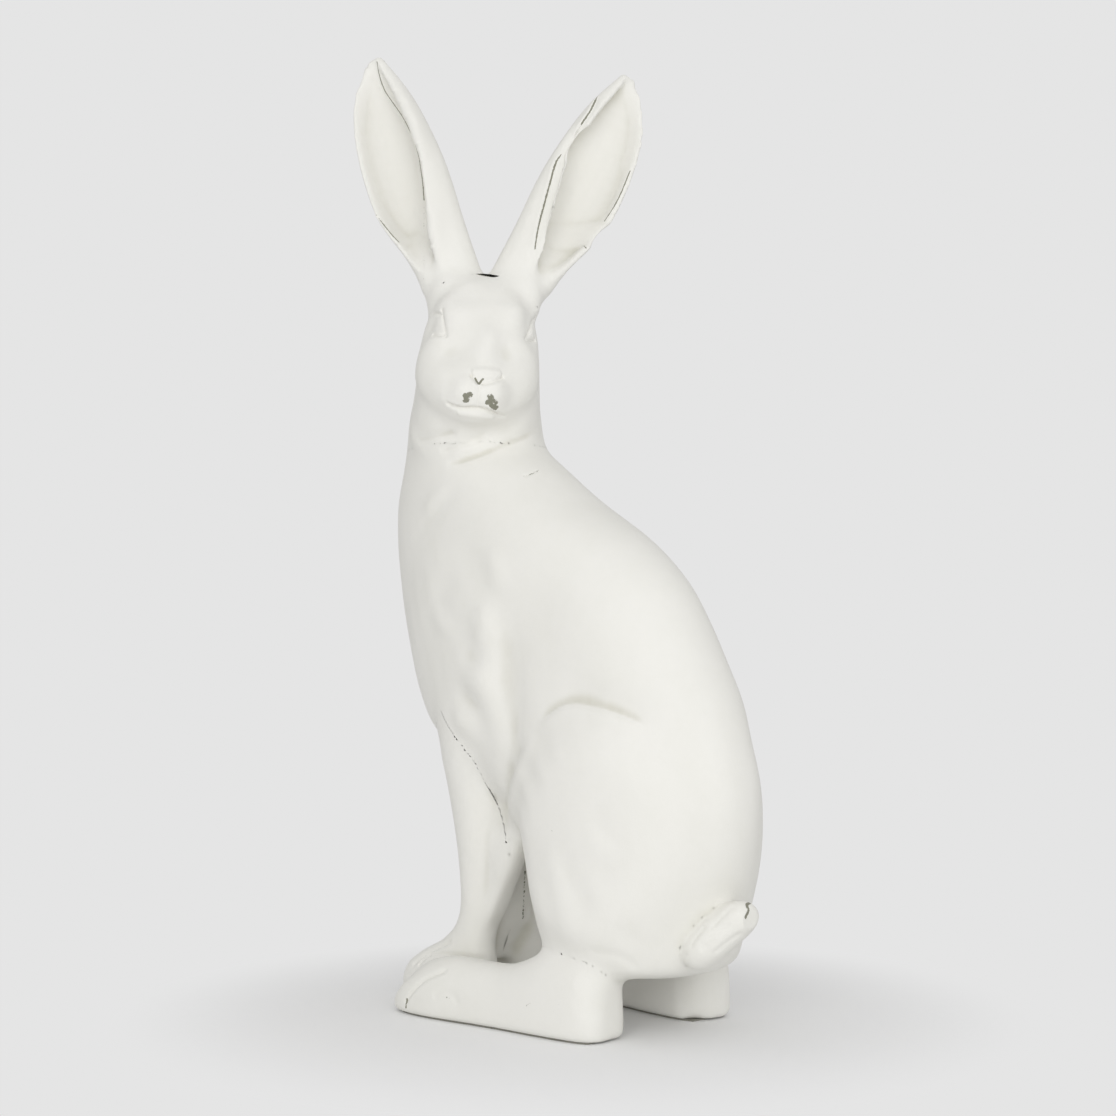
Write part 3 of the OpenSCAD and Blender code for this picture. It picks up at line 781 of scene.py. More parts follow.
class Carver:
    """Plans strokes where the camera sees them, then works them into the skin.

    A stroke wider than broad is spread softly, and its ends fade over a longer share of its line. The skin is
    made finer along strokes narrower than each of fine_widths in turn.
    """

    broad = 3.2
    broad_rounds = 24
    broad_taper = 0.36
    fine_taper = 0.18
    fine_widths = (2.9, 1.6)
    fine_reach = 2.4
    fine_margin = 0.6
    pixel_step = 2.0
    longest_jump = 8.0
    fold_reach = 2.6
    step_reach = 4.0
    wear_reach = 2.5
    step_slope = 0.45
    step_fade = 1.7
    sand_fade = 1.5
    wear_fade = 0.7
    facing_gain = 1.5
    finish_rounds = 2
    finish_share = 0.4
    hollow_rounds = 12
    hollow_depth = 0.8

    def __init__(self, skin: Skin, eye: Eye) -> None:
        """Prepares the skin for carving.

        Args:
            skin: the skin to carve.
            eye: the photograph's camera.
        """
        self.skin = skin
        self.eye = eye
        self.tree = skin.tree()
        self.cuts: list[Cut] = []

    def _line(self, pixels: Line) -> tuple[np.ndarray, np.ndarray]:
        """A line on the skin through pixels, in short even steps.

        Args:
            pixels: the line's corners in the photograph.

        Returns:
            The line's points, without those that jump to another form, and the way the skin faces there.
        """
        dense: list[np.ndarray] = []
        curve = rounded(np.array(pixels, float))
        for a, b in zip(curve[:-1], curve[1:]):
            steps = max(1, int(np.linalg.norm(b - a) / self.pixel_step))
            dense.extend(a + (b - a) * k / steps for k in range(steps))
        dense.append(curve[-1])
        points: list[np.ndarray] = []
        facing = np.zeros(3)
        for pixel in dense:
            point, normal, _, _ = self.tree.ray_cast(Vector(self.eye.place), Vector(self.eye.ray(pixel)))
            if point is None:
                continue
            point = np.array(point)
            if not points or np.linalg.norm(point - points[-1]) < self.longest_jump:
                points.append(point)
                facing += np.array(normal)
        return np.array(points), facing / max(np.linalg.norm(facing), TINY)

    def plan(self, stroke: Stroke) -> None:
        """Notes the cuts of a stroke, but for those that miss the skin.

        Args:
            stroke: the stroke.
        """
        for place in stroke.places:
            pixels = (place,) if stroke.form is Form.SWELL else place
            line, facing = self._line(pixels)
            if len(line) < min(2, len(pixels)):
                continue
            self.cuts.append(Cut(line, facing, stroke))
            if stroke.sides is Sides.BOTH:
                flip = np.array([-1.0, 1.0, 1.0])
                other = line * flip + np.array([2 * self.eye.mid_x, 0.0, 0.0])
                other = other[::-1] if stroke.form is Form.STEP else other
                self.cuts.append(Cut(other, facing * flip, stroke))

    def _planned(self, *forms: Form) -> list[Cut]:
        """The planned cuts of some forms."""
        return [cut for cut in self.cuts if cut.stroke.form in forms]

    def _near(self, cut: Cut, reach: float) -> tuple[np.ndarray, np.ndarray, np.ndarray, np.ndarray]:
        """The skin's vertices near a cut.

        Args:
            cut: the cut.
            reach: how far to look, as a multiple of its width.

        Returns:
            Their numbers, distance in widths, way from the line, and place along it from 0 to 1.
        """
        line, limit = cut.line, reach * cut.stroke.width
        low, high = line.min(0) - limit, line.max(0) + limit
        near = np.nonzero(((self.skin.co > low) & (self.skin.co < high)).all(1))[0]
        p = self.skin.co[near]
        best = np.full(len(near), np.inf)
        across = np.zeros((len(near), 3))
        along = np.zeros(len(near))
        spans = max(len(line) - 1, 1)
        for k, (a, b) in enumerate(zip(line[:-1], line[1:]) if len(line) > 1 else [(line[0], line[0])]):
            step = b - a
            t = np.clip(((p - a) @ step) / max(step @ step, TINY), 0, 1)
            away = p - (a + t[:, None] * step)
            d = np.linalg.norm(away, axis=1)
            closer = d < best
            best[closer] = d[closer]
            across[closer] = np.cross(step, away)[closer]
            along[closer] = ((k + t) / spans)[closer]
        kept = best < limit
        return near[kept], best[kept] / cut.stroke.width, across[kept], along[kept]

    def _refine(self, limit: float) -> None:
        """Makes the skin finer along narrow strokes.

        Args:
            limit: the half width below which a stroke needs a finer skin.
        """
        chosen = np.zeros(len(self.skin.co), bool)
        for cut in self._planned(Form.FOLD, Form.STEP, Form.WEAR):
            if cut.stroke.width < limit:
                chosen[self._near(cut, self.fine_reach + self.fine_margin / cut.stroke.width)[0]] = True
        self.skin.refine(chosen[self.skin.quads].any(axis=1))

    def work(self) -> None:
        """Works everything that is planned into the skin."""
        skin = self.skin
        self._sand()
        for limit in self.fine_widths:
            self._refine(limit)
        normals = skin.normals()
        lift = self._lift(normals)
        for cut in self._planned(Form.WEAR):
            near, d, _, _ = self._near(cut, self.wear_reach)
            worn = cut.stroke.height * np.exp(-self.wear_fade * d ** 4)
            skin.wear[near] = np.maximum(skin.wear[near], worn)
        low, high = skin.co.min(0), skin.co.max(0)
        skin.co = np.clip(skin.co + normals * lift[:, None], low, high)
        skin.relax(self.finish_rounds, np.full(len(skin.co), self.finish_share))
        skin.hollow = self._hollows()
        LOG.info("carved %d cuts into %d vertices", len(self.cuts), len(skin.co))

    def _sand(self) -> None:
        """Sands the skin where that is planned, the lightest first."""
        for rounds in sorted({cut.stroke.height for cut in self._planned(Form.SAND)}):
            sanded = np.zeros(len(self.skin.co))
            for cut in (cut for cut in self._planned(Form.SAND) if cut.stroke.height == rounds):
                near, d, _, _ = self._near(cut, 1.0)
                sanded[near] = np.maximum(sanded[near], eased(self.sand_fade * (1 - d)))
            self.skin.relax(int(rounds), sanded)

    def _lift(self, normals: np.ndarray) -> np.ndarray:
        """How far each vertex is raised by the swells, folds and steps.

        Args:
            normals: the skin's normals.

        Returns:
            The heights, below zero where the skin is sunk.
        """
        broad, fine = np.zeros(len(normals)), np.zeros(len(normals))
        for cut in self._planned(Form.SWELL):
            near, d, _, _ = self._near(cut, 1.0)
            shape = np.clip(1 - d ** 2, 0, 1) ** 2
            broad[near] += self._facing(cut, normals[near]) * cut.stroke.height * shape
        for cut in self._planned(Form.FOLD, Form.STEP):
            stepped, wide = cut.stroke.form is Form.STEP, cut.stroke.width > self.broad
            near, d, across, along = self._near(cut, self.step_reach if stepped else self.fold_reach)
            taper = self.broad_taper if wide else self.fine_taper
            shape = np.exp(-(d ** 2))
            if stepped:
                side = -np.sign(np.einsum("ij,ij->i", across, normals[near]))
                shape = side * np.tanh(d / self.step_slope) * np.exp(-((d / self.step_fade) ** 2))
            ends = eased(along / taper) * eased((1 - along) / taper)
            lift = broad if wide else fine
            lift[near] += self._facing(cut, normals[near]) * cut.stroke.height * ends * shape
        return self.skin.blurred(broad, self.broad_rounds) + fine

    @classmethod
    def _facing(cls, cut: Cut, normals: np.ndarray) -> np.ndarray:
        """1 where the skin faces the same way as a cut, falling to 0 where it faces away."""
        return eased(0.5 + cls.facing_gain * (normals @ cut.facing))

    def _hollows(self) -> np.ndarray:
        """How deep each vertex lies in a crease, from 0 to 1."""
        level = self.skin.co
        for _ in range(self.hollow_rounds):
            level = self.skin.averaged(level)
        depth = np.einsum("ij,ij->i", level - self.skin.co, self.skin.normals())
        return np.clip(depth / self.hollow_depth, 0.0, 1.0)


class CastingSplitter:
    """Parts the finished skin into the pieces that the figurine is cast in."""

    vote_rounds = 8
    vote_share = 0.6
    stray_rounds = 3
    blocked = 1e9

    def __init__(self, skin: Skin) -> None:
        """Settles which face belongs to which casting.

        Args:
            skin: the finished, labelled skin.
        """
        self.skin = skin
        self.normals = skin.normals()
        self.face_labels = self._joined(self._voted())

    def _voted(self) -> np.ndarray:
        """The casting that most corners about a face lie on, for each face."""
        votes = np.zeros((len(self.skin.co), len(Casting)))
        votes[np.arange(len(self.skin.co)), self.skin.labels] = 1.0
        for _ in range(self.vote_rounds):
            votes = (1 - self.vote_share) * votes + self.vote_share * self.skin.averaged(votes)
        return votes[self.skin.quads].sum(1).argmax(1)

    def _links(self) -> np.ndarray:
        """Pairs of faces that share an edge."""
        q = self.skin.quads
        count = len(self.skin.co)
        sides = np.stack([q, np.roll(q, -1, axis=1)], axis=2).reshape(-1, 2)
        face = np.repeat(np.arange(len(q)), 4)
        real = sides[:, 0] != sides[:, 1]
        sides, face = np.sort(sides[real], axis=1), face[real]
        code = sides[:, 0] * count + sides[:, 1]
        order = np.argsort(code, kind="stable")
        code, face = code[order], face[order]
        same = code[1:] == code[:-1]
        return np.stack([face[:-1][same], face[1:][same]], axis=1)

    def _joined(self, labels: np.ndarray) -> np.ndarray:
        """Gives each stray patch to the casting round it.

        Args:
            labels: a casting's number for each face.

        Returns:
            The numbers, with one patch left for each casting.
        """
        links = self._links()
        for _ in range(self.stray_rounds):
            inside = links[labels[links[:, 0]] == labels[links[:, 1]]]
            patch = patches(len(labels), inside)
            sizes = np.bincount(patch, minlength=len(labels))
            main = {int(patch[labels == c][sizes[patch[labels == c]].argmax()]) for c in np.unique(labels)}
            strays = [p for p in np.unique(patch) if int(p) not in main]
            if not strays:
                break
            for stray in strays:
                mine = patch == stray
                border = links[mine[links[:, 0]] != mine[links[:, 1]]]
                outer = np.where(mine[border[:, 0]], border[:, 1], border[:, 0])
                if len(outer):
                    labels[mine] = np.bincount(labels[outer]).argmax()
        return labels

    def piece(self, casting: Casting, paint: Material) -> Object:
        """Makes, caps and paints one casting.

        Args:
            casting: which casting.
            paint: its material.

        Returns:
            The object.
        """
        chosen = self.skin.quads[self.face_labels == casting.number]
        used, local = np.unique(chosen, return_inverse=True)
        local = local.reshape(chosen.shape)
        bm = bmesh.new()
        verts = [bm.verts.new(co) for co in (self.skin.co[used] * MM).tolist()]
        for a, b, c, d in local.tolist():
            corners = (a, b, c) if c == d else (a, b, c, d)
            bm.faces.new([verts[k] for k in corners]).smooth = True
        bm.verts.index_update()
        self._cap(bm)
        mesh = finished(bm, f"{casting.value}_skin")
        mesh.normals_split_custom_set_from_vertices(self.normals[used].tolist())
        for key, values in (("wear", self.skin.wear), ("hollow", self.skin.hollow)):
            layer = mesh.attributes.new(key, "FLOAT", "POINT")
            layer.data.foreach_set("value", values[used].astype(np.float32))
        mesh.materials.append(paint)
        obj = placed(mesh.name, mesh)
        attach(obj, "root")
        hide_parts(casting.value)
        LOG.info("%s: %d triangles", obj.name, sum(len(p.vertices) - 2 for p in mesh.polygons))
        return obj

    @classmethod
    def _cap(cls, bm: BMesh) -> None:
        """Closes each open rim of a piece.

        Args:
            bm: the piece.
        """
        left = dict.fromkeys(e for e in bm.edges if len(e.link_faces) == 1)
        while left:
            start = next(iter(left))
            del left[start]
            loop = start.link_loops[0]
            ring = [loop.link_loop_next.vert, loop.vert]
            while True:
                step = next((e for e in ring[-1].link_edges if e in left), None)
                if step is None:
                    break
                del left[step]
                if step.other_vert(ring[-1]) is ring[0]:
                    break
                ring.append(step.other_vert(ring[-1]))
            cls._web(bm, ring)

    @classmethod
    def _web(cls, bm: BMesh, ring: list[BMVert]) -> None:
        """Fills a rim with triangles, the shortest span first, so that the cap keeps close to its rim.

        Args:
            bm: the piece.
            ring: the rim's corners in order.
        """
        def span(k: int) -> float:
            """The length of the span across one corner; a span that is an edge already is blocked."""
            before, after = ring[k - 1], ring[(k + 1) % len(ring)]
            return cls.blocked if bm.edges.get((before, after)) else (before.co - after.co).length

        spans = [span(k) for k in range(len(ring))]
        while len(ring) > 3:
            k = spans.index(min(spans))
            bm.faces.new((ring[k - 1], ring[k], ring[(k + 1) % len(ring)]))
            del ring[k], spans[k]
            for near in (k - 1, k % len(ring)):
                spans[near] = span(near)
        bm.faces.new(ring)


class Scalar:
    """A number socket of a node tree that can be reckoned with."""

    def __init__(self, tree: NodeTree, socket: NodeSocket) -> None:
        """Wraps an output socket of a tree."""
        self.tree = tree
        self.socket = socket

    def _math(self, operation: str, *values: "Scalar | float") -> "Scalar":
        """Adds one maths node.

        Args:
            operation: the node's operation.
            values: its inputs.

        Returns:
            The result.
        """
        node = self.tree.nodes.new("ShaderNodeMath")
        node.operation = operation
        for slot, value in zip(node.inputs, values):
            if isinstance(value, Scalar):
                self.tree.links.new(value.socket, slot)
            else:
                slot.default_value = value
        return Scalar(self.tree, node.outputs[0])

    def __add__(self, other: "Scalar | float") -> "Scalar":
        """The sum."""
        return self._math("ADD", self, other)

    def __sub__(self, other: "Scalar | float") -> "Scalar":
        """The difference."""
        return self._math("SUBTRACT", self, other)

    def __mul__(self, other: "Scalar | float") -> "Scalar":
        """The product."""
        return self._math("MULTIPLY", self, other)

    __radd__ = __add__
    __rmul__ = __mul__

    def ramp(self, low: float, high: float) -> "Scalar":
        """Rises smoothly from 0 to 1.

        Args:
            low: where the rise begins.
            high: where it ends.

        Returns:
            The eased number.
        """
        node = self.tree.nodes.new("ShaderNodeMapRange")
        node.interpolation_type = "SMOOTHSTEP"
        self.tree.links.new(self.socket, node.inputs["Value"])
        node.inputs["From Min"].default_value = low
        node.inputs["From Max"].default_value = high
        return Scalar(self.tree, node.outputs["Result"])


class NodeBook:
    """Fills one node tree."""

    def __init__(self, tree: NodeTree) -> None:
        """Empties the tree that is to be filled."""
        self.tree = tree
        self.tree.nodes.clear()

    def node(self, kind: str, settings: dict[str, object] | None = None, **sockets: object) -> Node:
        """Adds a node.

        Args:
            kind: the node's type.
            settings: its own settings, which are set first.
            sockets: values or links of its sockets, by name, with an underscore for each space.

        Returns:
            The node.
        """
        made = self.tree.nodes.new(kind)
        for key, value in (settings or {}).items():
            setattr(made, key, value)
        for key, value in sockets.items():
            slot = next(s for s in made.inputs if s.name == key.replace("_", " ") and s.enabled)
            if isinstance(value, Scalar):
                self.link(value.socket, slot)
            elif isinstance(value, NodeSocket):
                self.link(value, slot)
            else:
                slot.default_value = value
        return made

    def link(self, source: NodeSocket, target: NodeSocket) -> None:
        """Joins an output to an input."""
        self.tree.links.new(source, target)

    def mixed(self, factor: NodeSocket, *shaders: Node) -> NodeSocket:
        """Mixes two shaders.

        Args:
            factor: share of the second.
            shaders: the two.

        Returns:
            The mix.
        """
        mix = self.node("ShaderNodeMixShader")
        for source, slot in zip((factor, *(shader.outputs[0] for shader in shaders)), mix.inputs):
            self.link(source, slot)
        return mix.outputs[0]


class Finish(NodeBook):
    """Builds one node material."""

    def __init__(self, name: str) -> None:
        """Starts a material with its shader and output.

        Args:
            name: the material's name.
        """
        self.material = bpy.data.materials.new(name)
        self.material.use_nodes = True
        super().__init__(self.material.node_tree)
        self.output = self.node("ShaderNodeOutputMaterial")
        self.shader = self.node("ShaderNodeBsdfPrincipled")
        self.link(self.shader.outputs["BSDF"], self.output.inputs["Surface"])
        self.place = self.node("ShaderNodeTexCoord").outputs["Object"]

    def noise(self, scale: float, detail: float, rough: float,
              stretch: tuple[float, float, float] = (1.0, 1.0, 1.0)) -> Scalar:
        """A soft noise over the surface.

        Args:
            scale: how fine it is, in waves to the metre.
            detail: how many finer layers it has.
            rough: how strong they are.
            stretch: how the place is scaled along each axis.

        Returns:
            Values about 0.5.
        """
        mapped = self.node("ShaderNodeMapping", Vector=self.place, Scale=stretch)
        made = self.node("ShaderNodeTexNoise", Vector=mapped.outputs["Vector"], Scale=scale, Detail=detail,
                         Roughness=rough)
        return Scalar(self.tree, made.outputs[0])

    def attribute(self, name: str) -> Scalar:
        """A number kept on the mesh."""
        return Scalar(self.tree, self.node("ShaderNodeAttribute", {"attribute_name": name}).outputs["Fac"])

    def blend(self, factor: Scalar, a: object, b: object) -> NodeSocket:
        """Mixes two colours.

        Args:
            factor: share of the second.
            a: first colour, or a socket.
            b: second colour, or a socket.

        Returns:
            The mixed colour's socket.
        """
        ends = [c if isinstance(c, NodeSocket) else (*c, 1.0) for c in (a, b)]
        mix = self.node("ShaderNodeMix", {"data_type": "RGBA"}, Factor=factor, A=ends[0], B=ends[1])
        return next(s for s in mix.outputs if s.enabled)

    def dress(self, color: NodeSocket, roughness: Scalar, height: Scalar, relief_m: float,
              share: float) -> Material:
        """Gives the shader its colour, roughness and relief.

        Args:
            color: the colour's socket.
            roughness: the roughness.
            height: the relief, from 0 to 1.
            relief_m: real height of 1, in metres.
            share: share of the relief that shows.

        Returns:
            The finished material.
        """
        relief = self.node("ShaderNodeBump", Height=height, Strength=share, Distance=relief_m)
        self.link(color, self.shader.inputs["Base Color"])
        self.link(roughness.socket, self.shader.inputs["Roughness"])
        self.link(relief.outputs["Normal"], self.shader.inputs["Normal"])
        return self.material


def paint_material(finish: PaintFinish) -> Material:
    """Worn paint over an undercoat.

    Args:
        finish: its colours and relief; its grime colour is also painted shade in the creases.

    Returns:
        The material.
    """
    f = Finish("worn_paint")
    patchy = f.noise(*finish.patches)
    streaks = f.noise(*finish.streaks, finish.streak_stretch)
    mottled = f.noise(*finish.mottling)
    fine = f.noise(*finish.grain)
    tone = patchy.ramp(0.3, 0.75) * 0.55 + streaks.ramp(0.35, 0.8) * 0.35 + mottled.ramp(0.4, 0.75) * 0.2
    clean = f.blend(tone, finish.light, finish.shade)
    # Painted shade and grime: creases are darkened by their depth, partly for the dirt that settles there and
    # partly for the shade that falls in them.
    crease_grime_and_shade = f.attribute("hollow").ramp(0.1, 1.1) * (0.5 + mottled * 0.6)
    grimed_and_shaded = f.blend(crease_grime_and_shade, clean, finish.grime_and_shade)
    torn = f.noise(*finish.tearing)
    chipped = (f.attribute("wear") + (torn - 0.5) * 1.5 + (fine - 0.5) * 0.6).ramp(*finish.chip_edge)
    colour = f.blend(chipped, grimed_and_shaded, finish.undercoat)
    f.shader.inputs["Specular IOR Level"].default_value = finish.gloss
    rough = finish.roughness + (fine - 0.5) * 0.16 + chipped * 0.14
    height = fine * 0.25 + mottled * 0.45 + streaks * 0.5 - chipped * 0.9
    return f.dress(colour, rough, height, finish.relief_m, finish.relief_share)


def plain_material(name: str, finish: PlainFinish) -> Material:
    """A grainy material for a small part.

    Args:
        name: the material's name.
        finish: its values.

    Returns:
        The material.
    """
    f = Finish(name)
    grain = f.noise(finish.grain, 5.0, 0.6)
    colour = f.blend(grain.ramp(0.3, 0.7), tuple(0.72 * c for c in finish.color), finish.color)
    f.shader.inputs["Metallic"].default_value = finish.metallic
    return f.dress(colour, finish.roughness + (grain - 0.5) * 0.2, grain, finish.relief_m, finish.bump)


class Feature:
    """A group of strokes that are carved together, in the order in which they are written."""

    def carve(self, carver: Carver) -> None:
        """Plans every stroke of the group."""
        for field in fields(self):
            carver.plan(getattr(self, field.name))


@dataclass(frozen=True)
class Neck(Feature):
    """The folded neck between the torso and the head, and the breast below it."""

    nick: ClassVar[Line] = ((523, 476), (531, 474), (538, 470))

    jaw_sides: Stroke = Form.SAND.along(20, 220, ((419, 408), (424, 420), (433, 430), (446, 435)),
        ((536, 405), (532, 418), (524, 427), (510, 433)))
    jaw_front: Stroke = Form.SAND.along(14, 120, ((448, 436), (470, 437), (508, 433)))
    jaw_fills: Stroke = Form.FOLD.along(9, 2.0, ((417, 404), (424, 418), (434, 429), (446, 436)), ((537, 403),
        (531, 416), (521, 427), (509, 433)))
    cheek_fold: Stroke = Form.FOLD.along(3.1, -1.2, ((412, 441), (430, 438), (445, 434), (457, 432)))
    chin_fold: Stroke = Form.FOLD.along(2.48, -1.2, ((439, 452), (455, 447), (470, 441), (488, 435)))
    throat_fold: Stroke = Form.FOLD.along(3.1, -1.5, ((446, 464), (460, 461), (478, 455), (500, 446),
        (520, 439), (537, 429)))
    throat_roll: Stroke = Form.FOLD.along(3.72, 1.6, ((450, 454), (465, 450), (482, 445)))
    nick_cut: Stroke = Form.FOLD.along(1.2, -0.5, nick)
    nick_wear: Stroke = Form.WEAR.along(0.7, 0.5, nick)
    breast_dent: Stroke = Form.SWELL.along(16, -0.9, (465, 560))


@dataclass(frozen=True)
class Shoulders(Feature):
    """The upper arms and shoulder blades, which stand out from the chest."""

    arm_edge: Stroke = Form.STEP.along(8.5, 2.2, ((487, 585), (491, 610), (493, 640), (494, 670), (496, 700),
        (499, 720), (504, 745), (507, 765)), sides=Sides.BOTH)
    flank_valley: Stroke = Form.FOLD.along(10, -2.6, ((504, 610), (507, 650), (510, 690), (514, 730),
        (515, 760)), sides=Sides.BOTH)
    blade: Stroke = Form.FOLD.along(6, 2.6, ((485, 545), (494, 562), (498, 580), (494, 594)),
        sides=Sides.BOTH)
    shoulder_fold: Stroke = Form.FOLD.along(4.6, -1.6, ((462, 487), (450, 496), (440, 506), (430, 518),
        (420, 531), (412, 541)))
    shoulder_roll: Stroke = Form.FOLD.along(5, 2.08, ((450, 487), (434, 501), (421, 518)))
    upper_muscle: Stroke = Form.FOLD.along(10, 2.6, ((478, 600), (485, 625), (490, 650)), sides=Sides.BOTH)
    lower_muscle: Stroke = Form.FOLD.along(8, 2.6, ((466, 666), (478, 680), (493, 694)), sides=Sides.BOTH)
    elbow_muscle: Stroke = Form.FOLD.along(7, 2.6, ((455, 715), (465, 722), (477, 731)), sides=Sides.BOTH)
    muscle_grooves: Stroke = Form.FOLD.along(5, -1.43, ((458, 652), (470, 658), (480, 668)), ((453, 689),
        (469, 700), (486, 713)), ((433, 602), (445, 611), (457, 624)), sides=Sides.BOTH)
    chest_roll: Stroke = Form.FOLD.along(5.5, 2.08, ((434, 611), (442, 622), (453, 633)))
    breast_edge: Stroke = Form.SAND.along(15, 200, ((436, 710), (440, 727), (444, 744)), sides=Sides.BOTH)
    breast_end: Stroke = Form.SWELL.along(30, 2.4, (447, 728), sides=Sides.BOTH)
    chest_dent: Stroke = Form.SWELL.along(18, -2.0, (443, 585))
    flank_dent: Stroke = Form.SWELL.along(36, -1.6, (530, 600), sides=Sides.BOTH)
    deep_flank_dent: Stroke = Form.SWELL.along(50, -3.2, (535, 655), sides=Sides.BOTH)


@dataclass(frozen=True)
class Haunches(Feature):
    """The thighs, the shanks under them and the rump."""

    crest: ClassVar[Line] = ((536, 727), (548, 715), (562, 706), (576, 704), (592, 707), (608, 711),
        (627, 718), (650, 729))

    thigh_edge: Stroke = Form.STEP.along(6.0, 2.4, crest, sides=Sides.BOTH)
    crest_valley: Stroke = Form.FOLD.along(10, -1.5, ((560, 696), (572, 693), (588, 694), (606, 699)),
        sides=Sides.BOTH)
    sharp_edge: Stroke = Form.STEP.along(3.0, 0.9, crest, sides=Sides.BOTH)
    knee_edge: Stroke = Form.STEP.along(6.0, 2.8, ((518, 850), (513, 836), (509, 820), (508, 800), (510, 785),
        (517, 765), (525, 742), (538, 724)), sides=Sides.BOTH)
    knee_valley: Stroke = Form.FOLD.along(6, -2.6, ((512, 700), (511, 735), (505, 765), (501, 785),
        (500, 806)), sides=Sides.BOTH)
    shank_ridge: Stroke = Form.FOLD.along(6, 1.5, ((545, 830), (550, 850), (556, 880), (561, 905), (566, 925),
        (572, 940)), sides=Sides.BOTH)
    shank_valley: Stroke = Form.FOLD.along(7, -1.6, ((557, 838), (562, 860), (570, 880), (579, 897),
        (586, 912), (592, 938)), sides=Sides.BOTH)
    calf_ridge: Stroke = Form.FOLD.along(6, 0.9, ((584, 832), (598, 850), (610, 862)), sides=Sides.BOTH)
    calf_lower_ridge: Stroke = Form.FOLD.along(5, 0.8, ((588, 880), (594, 892), (600, 905)), sides=Sides.BOTH)
    calf_groove: Stroke = Form.FOLD.along(4.5, -1.0, ((595, 803), (597, 825), (606, 837), (616, 846),
        (624, 852)), sides=Sides.BOTH)
    calf_dent: Stroke = Form.SWELL.along(20, -1.2, (597, 874), sides=Sides.BOTH)
    rump_line: Stroke = Form.FOLD.along(12, 1.2, ((722, 700), (722, 730), (725, 760), (731, 800), (735, 860)),
        sides=Sides.BOTH)
    under_rump: Stroke = Form.FOLD.along(5, -1.2, ((602, 926), (620, 934), (645, 940)), sides=Sides.BOTH)
    specks: Stroke = Form.WEAR.along(0.5, 0.42, ((583, 803), (587, 804)), ((551, 830), (553, 832)),
        ((577, 838), (580, 839)))


@dataclass(frozen=True)
class Face(Feature):
    """The face, from its large forms to the small: brow, eyes, nose, muzzle, mouth and cheeks."""

    ear_roots: Stroke = Form.SWELL.along(17, 2.0, (462, 284), (512, 284))
    root_creases: Stroke = Form.SAND.along(13, 150, ((431, 302), (442, 289), (457, 280)), ((541, 302),
        (530, 289), (515, 280)))
    root_fills: Stroke = Form.FOLD.along(7, 4.0, ((434, 299), (442, 286), (454, 276)), ((541, 299),
        (533, 286), (521, 276)))
    ear_root_split: Stroke = Form.FOLD.along(4.0, -1.2, ((490, 277), (490, 284), (490, 292)))
    far_temple: Stroke = Form.SWELL.along(14, 5.0, (531, 304))
    near_temple: Stroke = Form.SWELL.along(14, 2.6, (430, 305))
    brow_ledges: Stroke = Form.SAND.along(13, 45, ((452, 327), (478, 326)), ((502, 325), (524, 328)))
    forehead_fold: Stroke = Form.FOLD.along(4.0, -1.0, ((434, 307), (446, 301), (460, 297), (480, 298),
        (500, 297), (516, 301), (532, 309)))
    brows: Stroke = Form.SWELL.along(13, 2.4, (457, 314), (517, 318))
    cheeks: Stroke = Form.SWELL.along(21, 1.7, (430, 383), (527, 385))
    eye_hollows: Stroke = Form.SWELL.along(12, -1.2, (446, 351), (522, 356))
    lids: Stroke = Form.FOLD.along(1.3, -1.3, ((441, 308), (443, 317), (444, 327), (446, 338)), ((432, 334),
        (438, 335), (444, 334)), ((430, 314), (435, 312), (441, 315)), ((534, 317), (530, 328), (525, 341)),
        ((526, 340), (531, 341), (536, 340)))
    eyeballs: Stroke = Form.SWELL.along(5.5, 1.0, (437, 325), (531, 332))
    bridge: Stroke = Form.FOLD.along(7, 3.4, ((488, 320), (489, 345), (488, 368)))
    bridge_sides: Stroke = Form.FOLD.along(5, -1.5, ((470, 326), (468, 350), (464, 372)), ((508, 330),
        (509, 350), (506, 368)))
    nose_top: Stroke = Form.FOLD.along(2.8, 1.3, ((471, 372), (482, 371), (492, 372), (502, 374)))
    nose_wings: Stroke = Form.FOLD.along(1.3, -1.5, ((470, 374), (474, 379), (479, 384)), ((480, 383),
        (489, 384), (497, 381), (504, 376)))
    muzzle_pads: Stroke = Form.SWELL.along(11, 2.3, (464, 387), (497, 389))
    philtrum: Stroke = Form.FOLD.along(1.0, -0.7, ((479, 385), (479, 396), (478, 407)))
    mouth: Stroke = Form.FOLD.along(1.4, -2.3, ((445, 403), (451, 406), (461, 409), (472, 408), (482, 409),
        (493, 413), (506, 418)))
    lower_lip: Stroke = Form.FOLD.along(2.3, 0.9, ((456, 413), (470, 415), (484, 417), (494, 418)))
    chin_hollow: Stroke = Form.FOLD.along(6, -1.9, ((455, 430), (478, 432), (505, 432), (530, 429)))
    muzzle_sides: Stroke = Form.FOLD.along(4, -1.2, ((452, 372), (447, 388), (443, 401)), ((513, 378),
        (514, 395), (509, 410)))
    nose_chip: Stroke = Form.WEAR.along(0.65, 1.05, ((475, 378), (477, 381), (479, 384)), ((483, 379),
        (481, 381), (479, 384)))
    lip_chips: Stroke = Form.WEAR.along(2.1, 0.85, ((466, 396), (470, 395)), ((467, 397), (466, 400)),
        ((490, 397), (492, 402)), ((488, 402), (495, 403)), ((492, 404), (496, 408)))


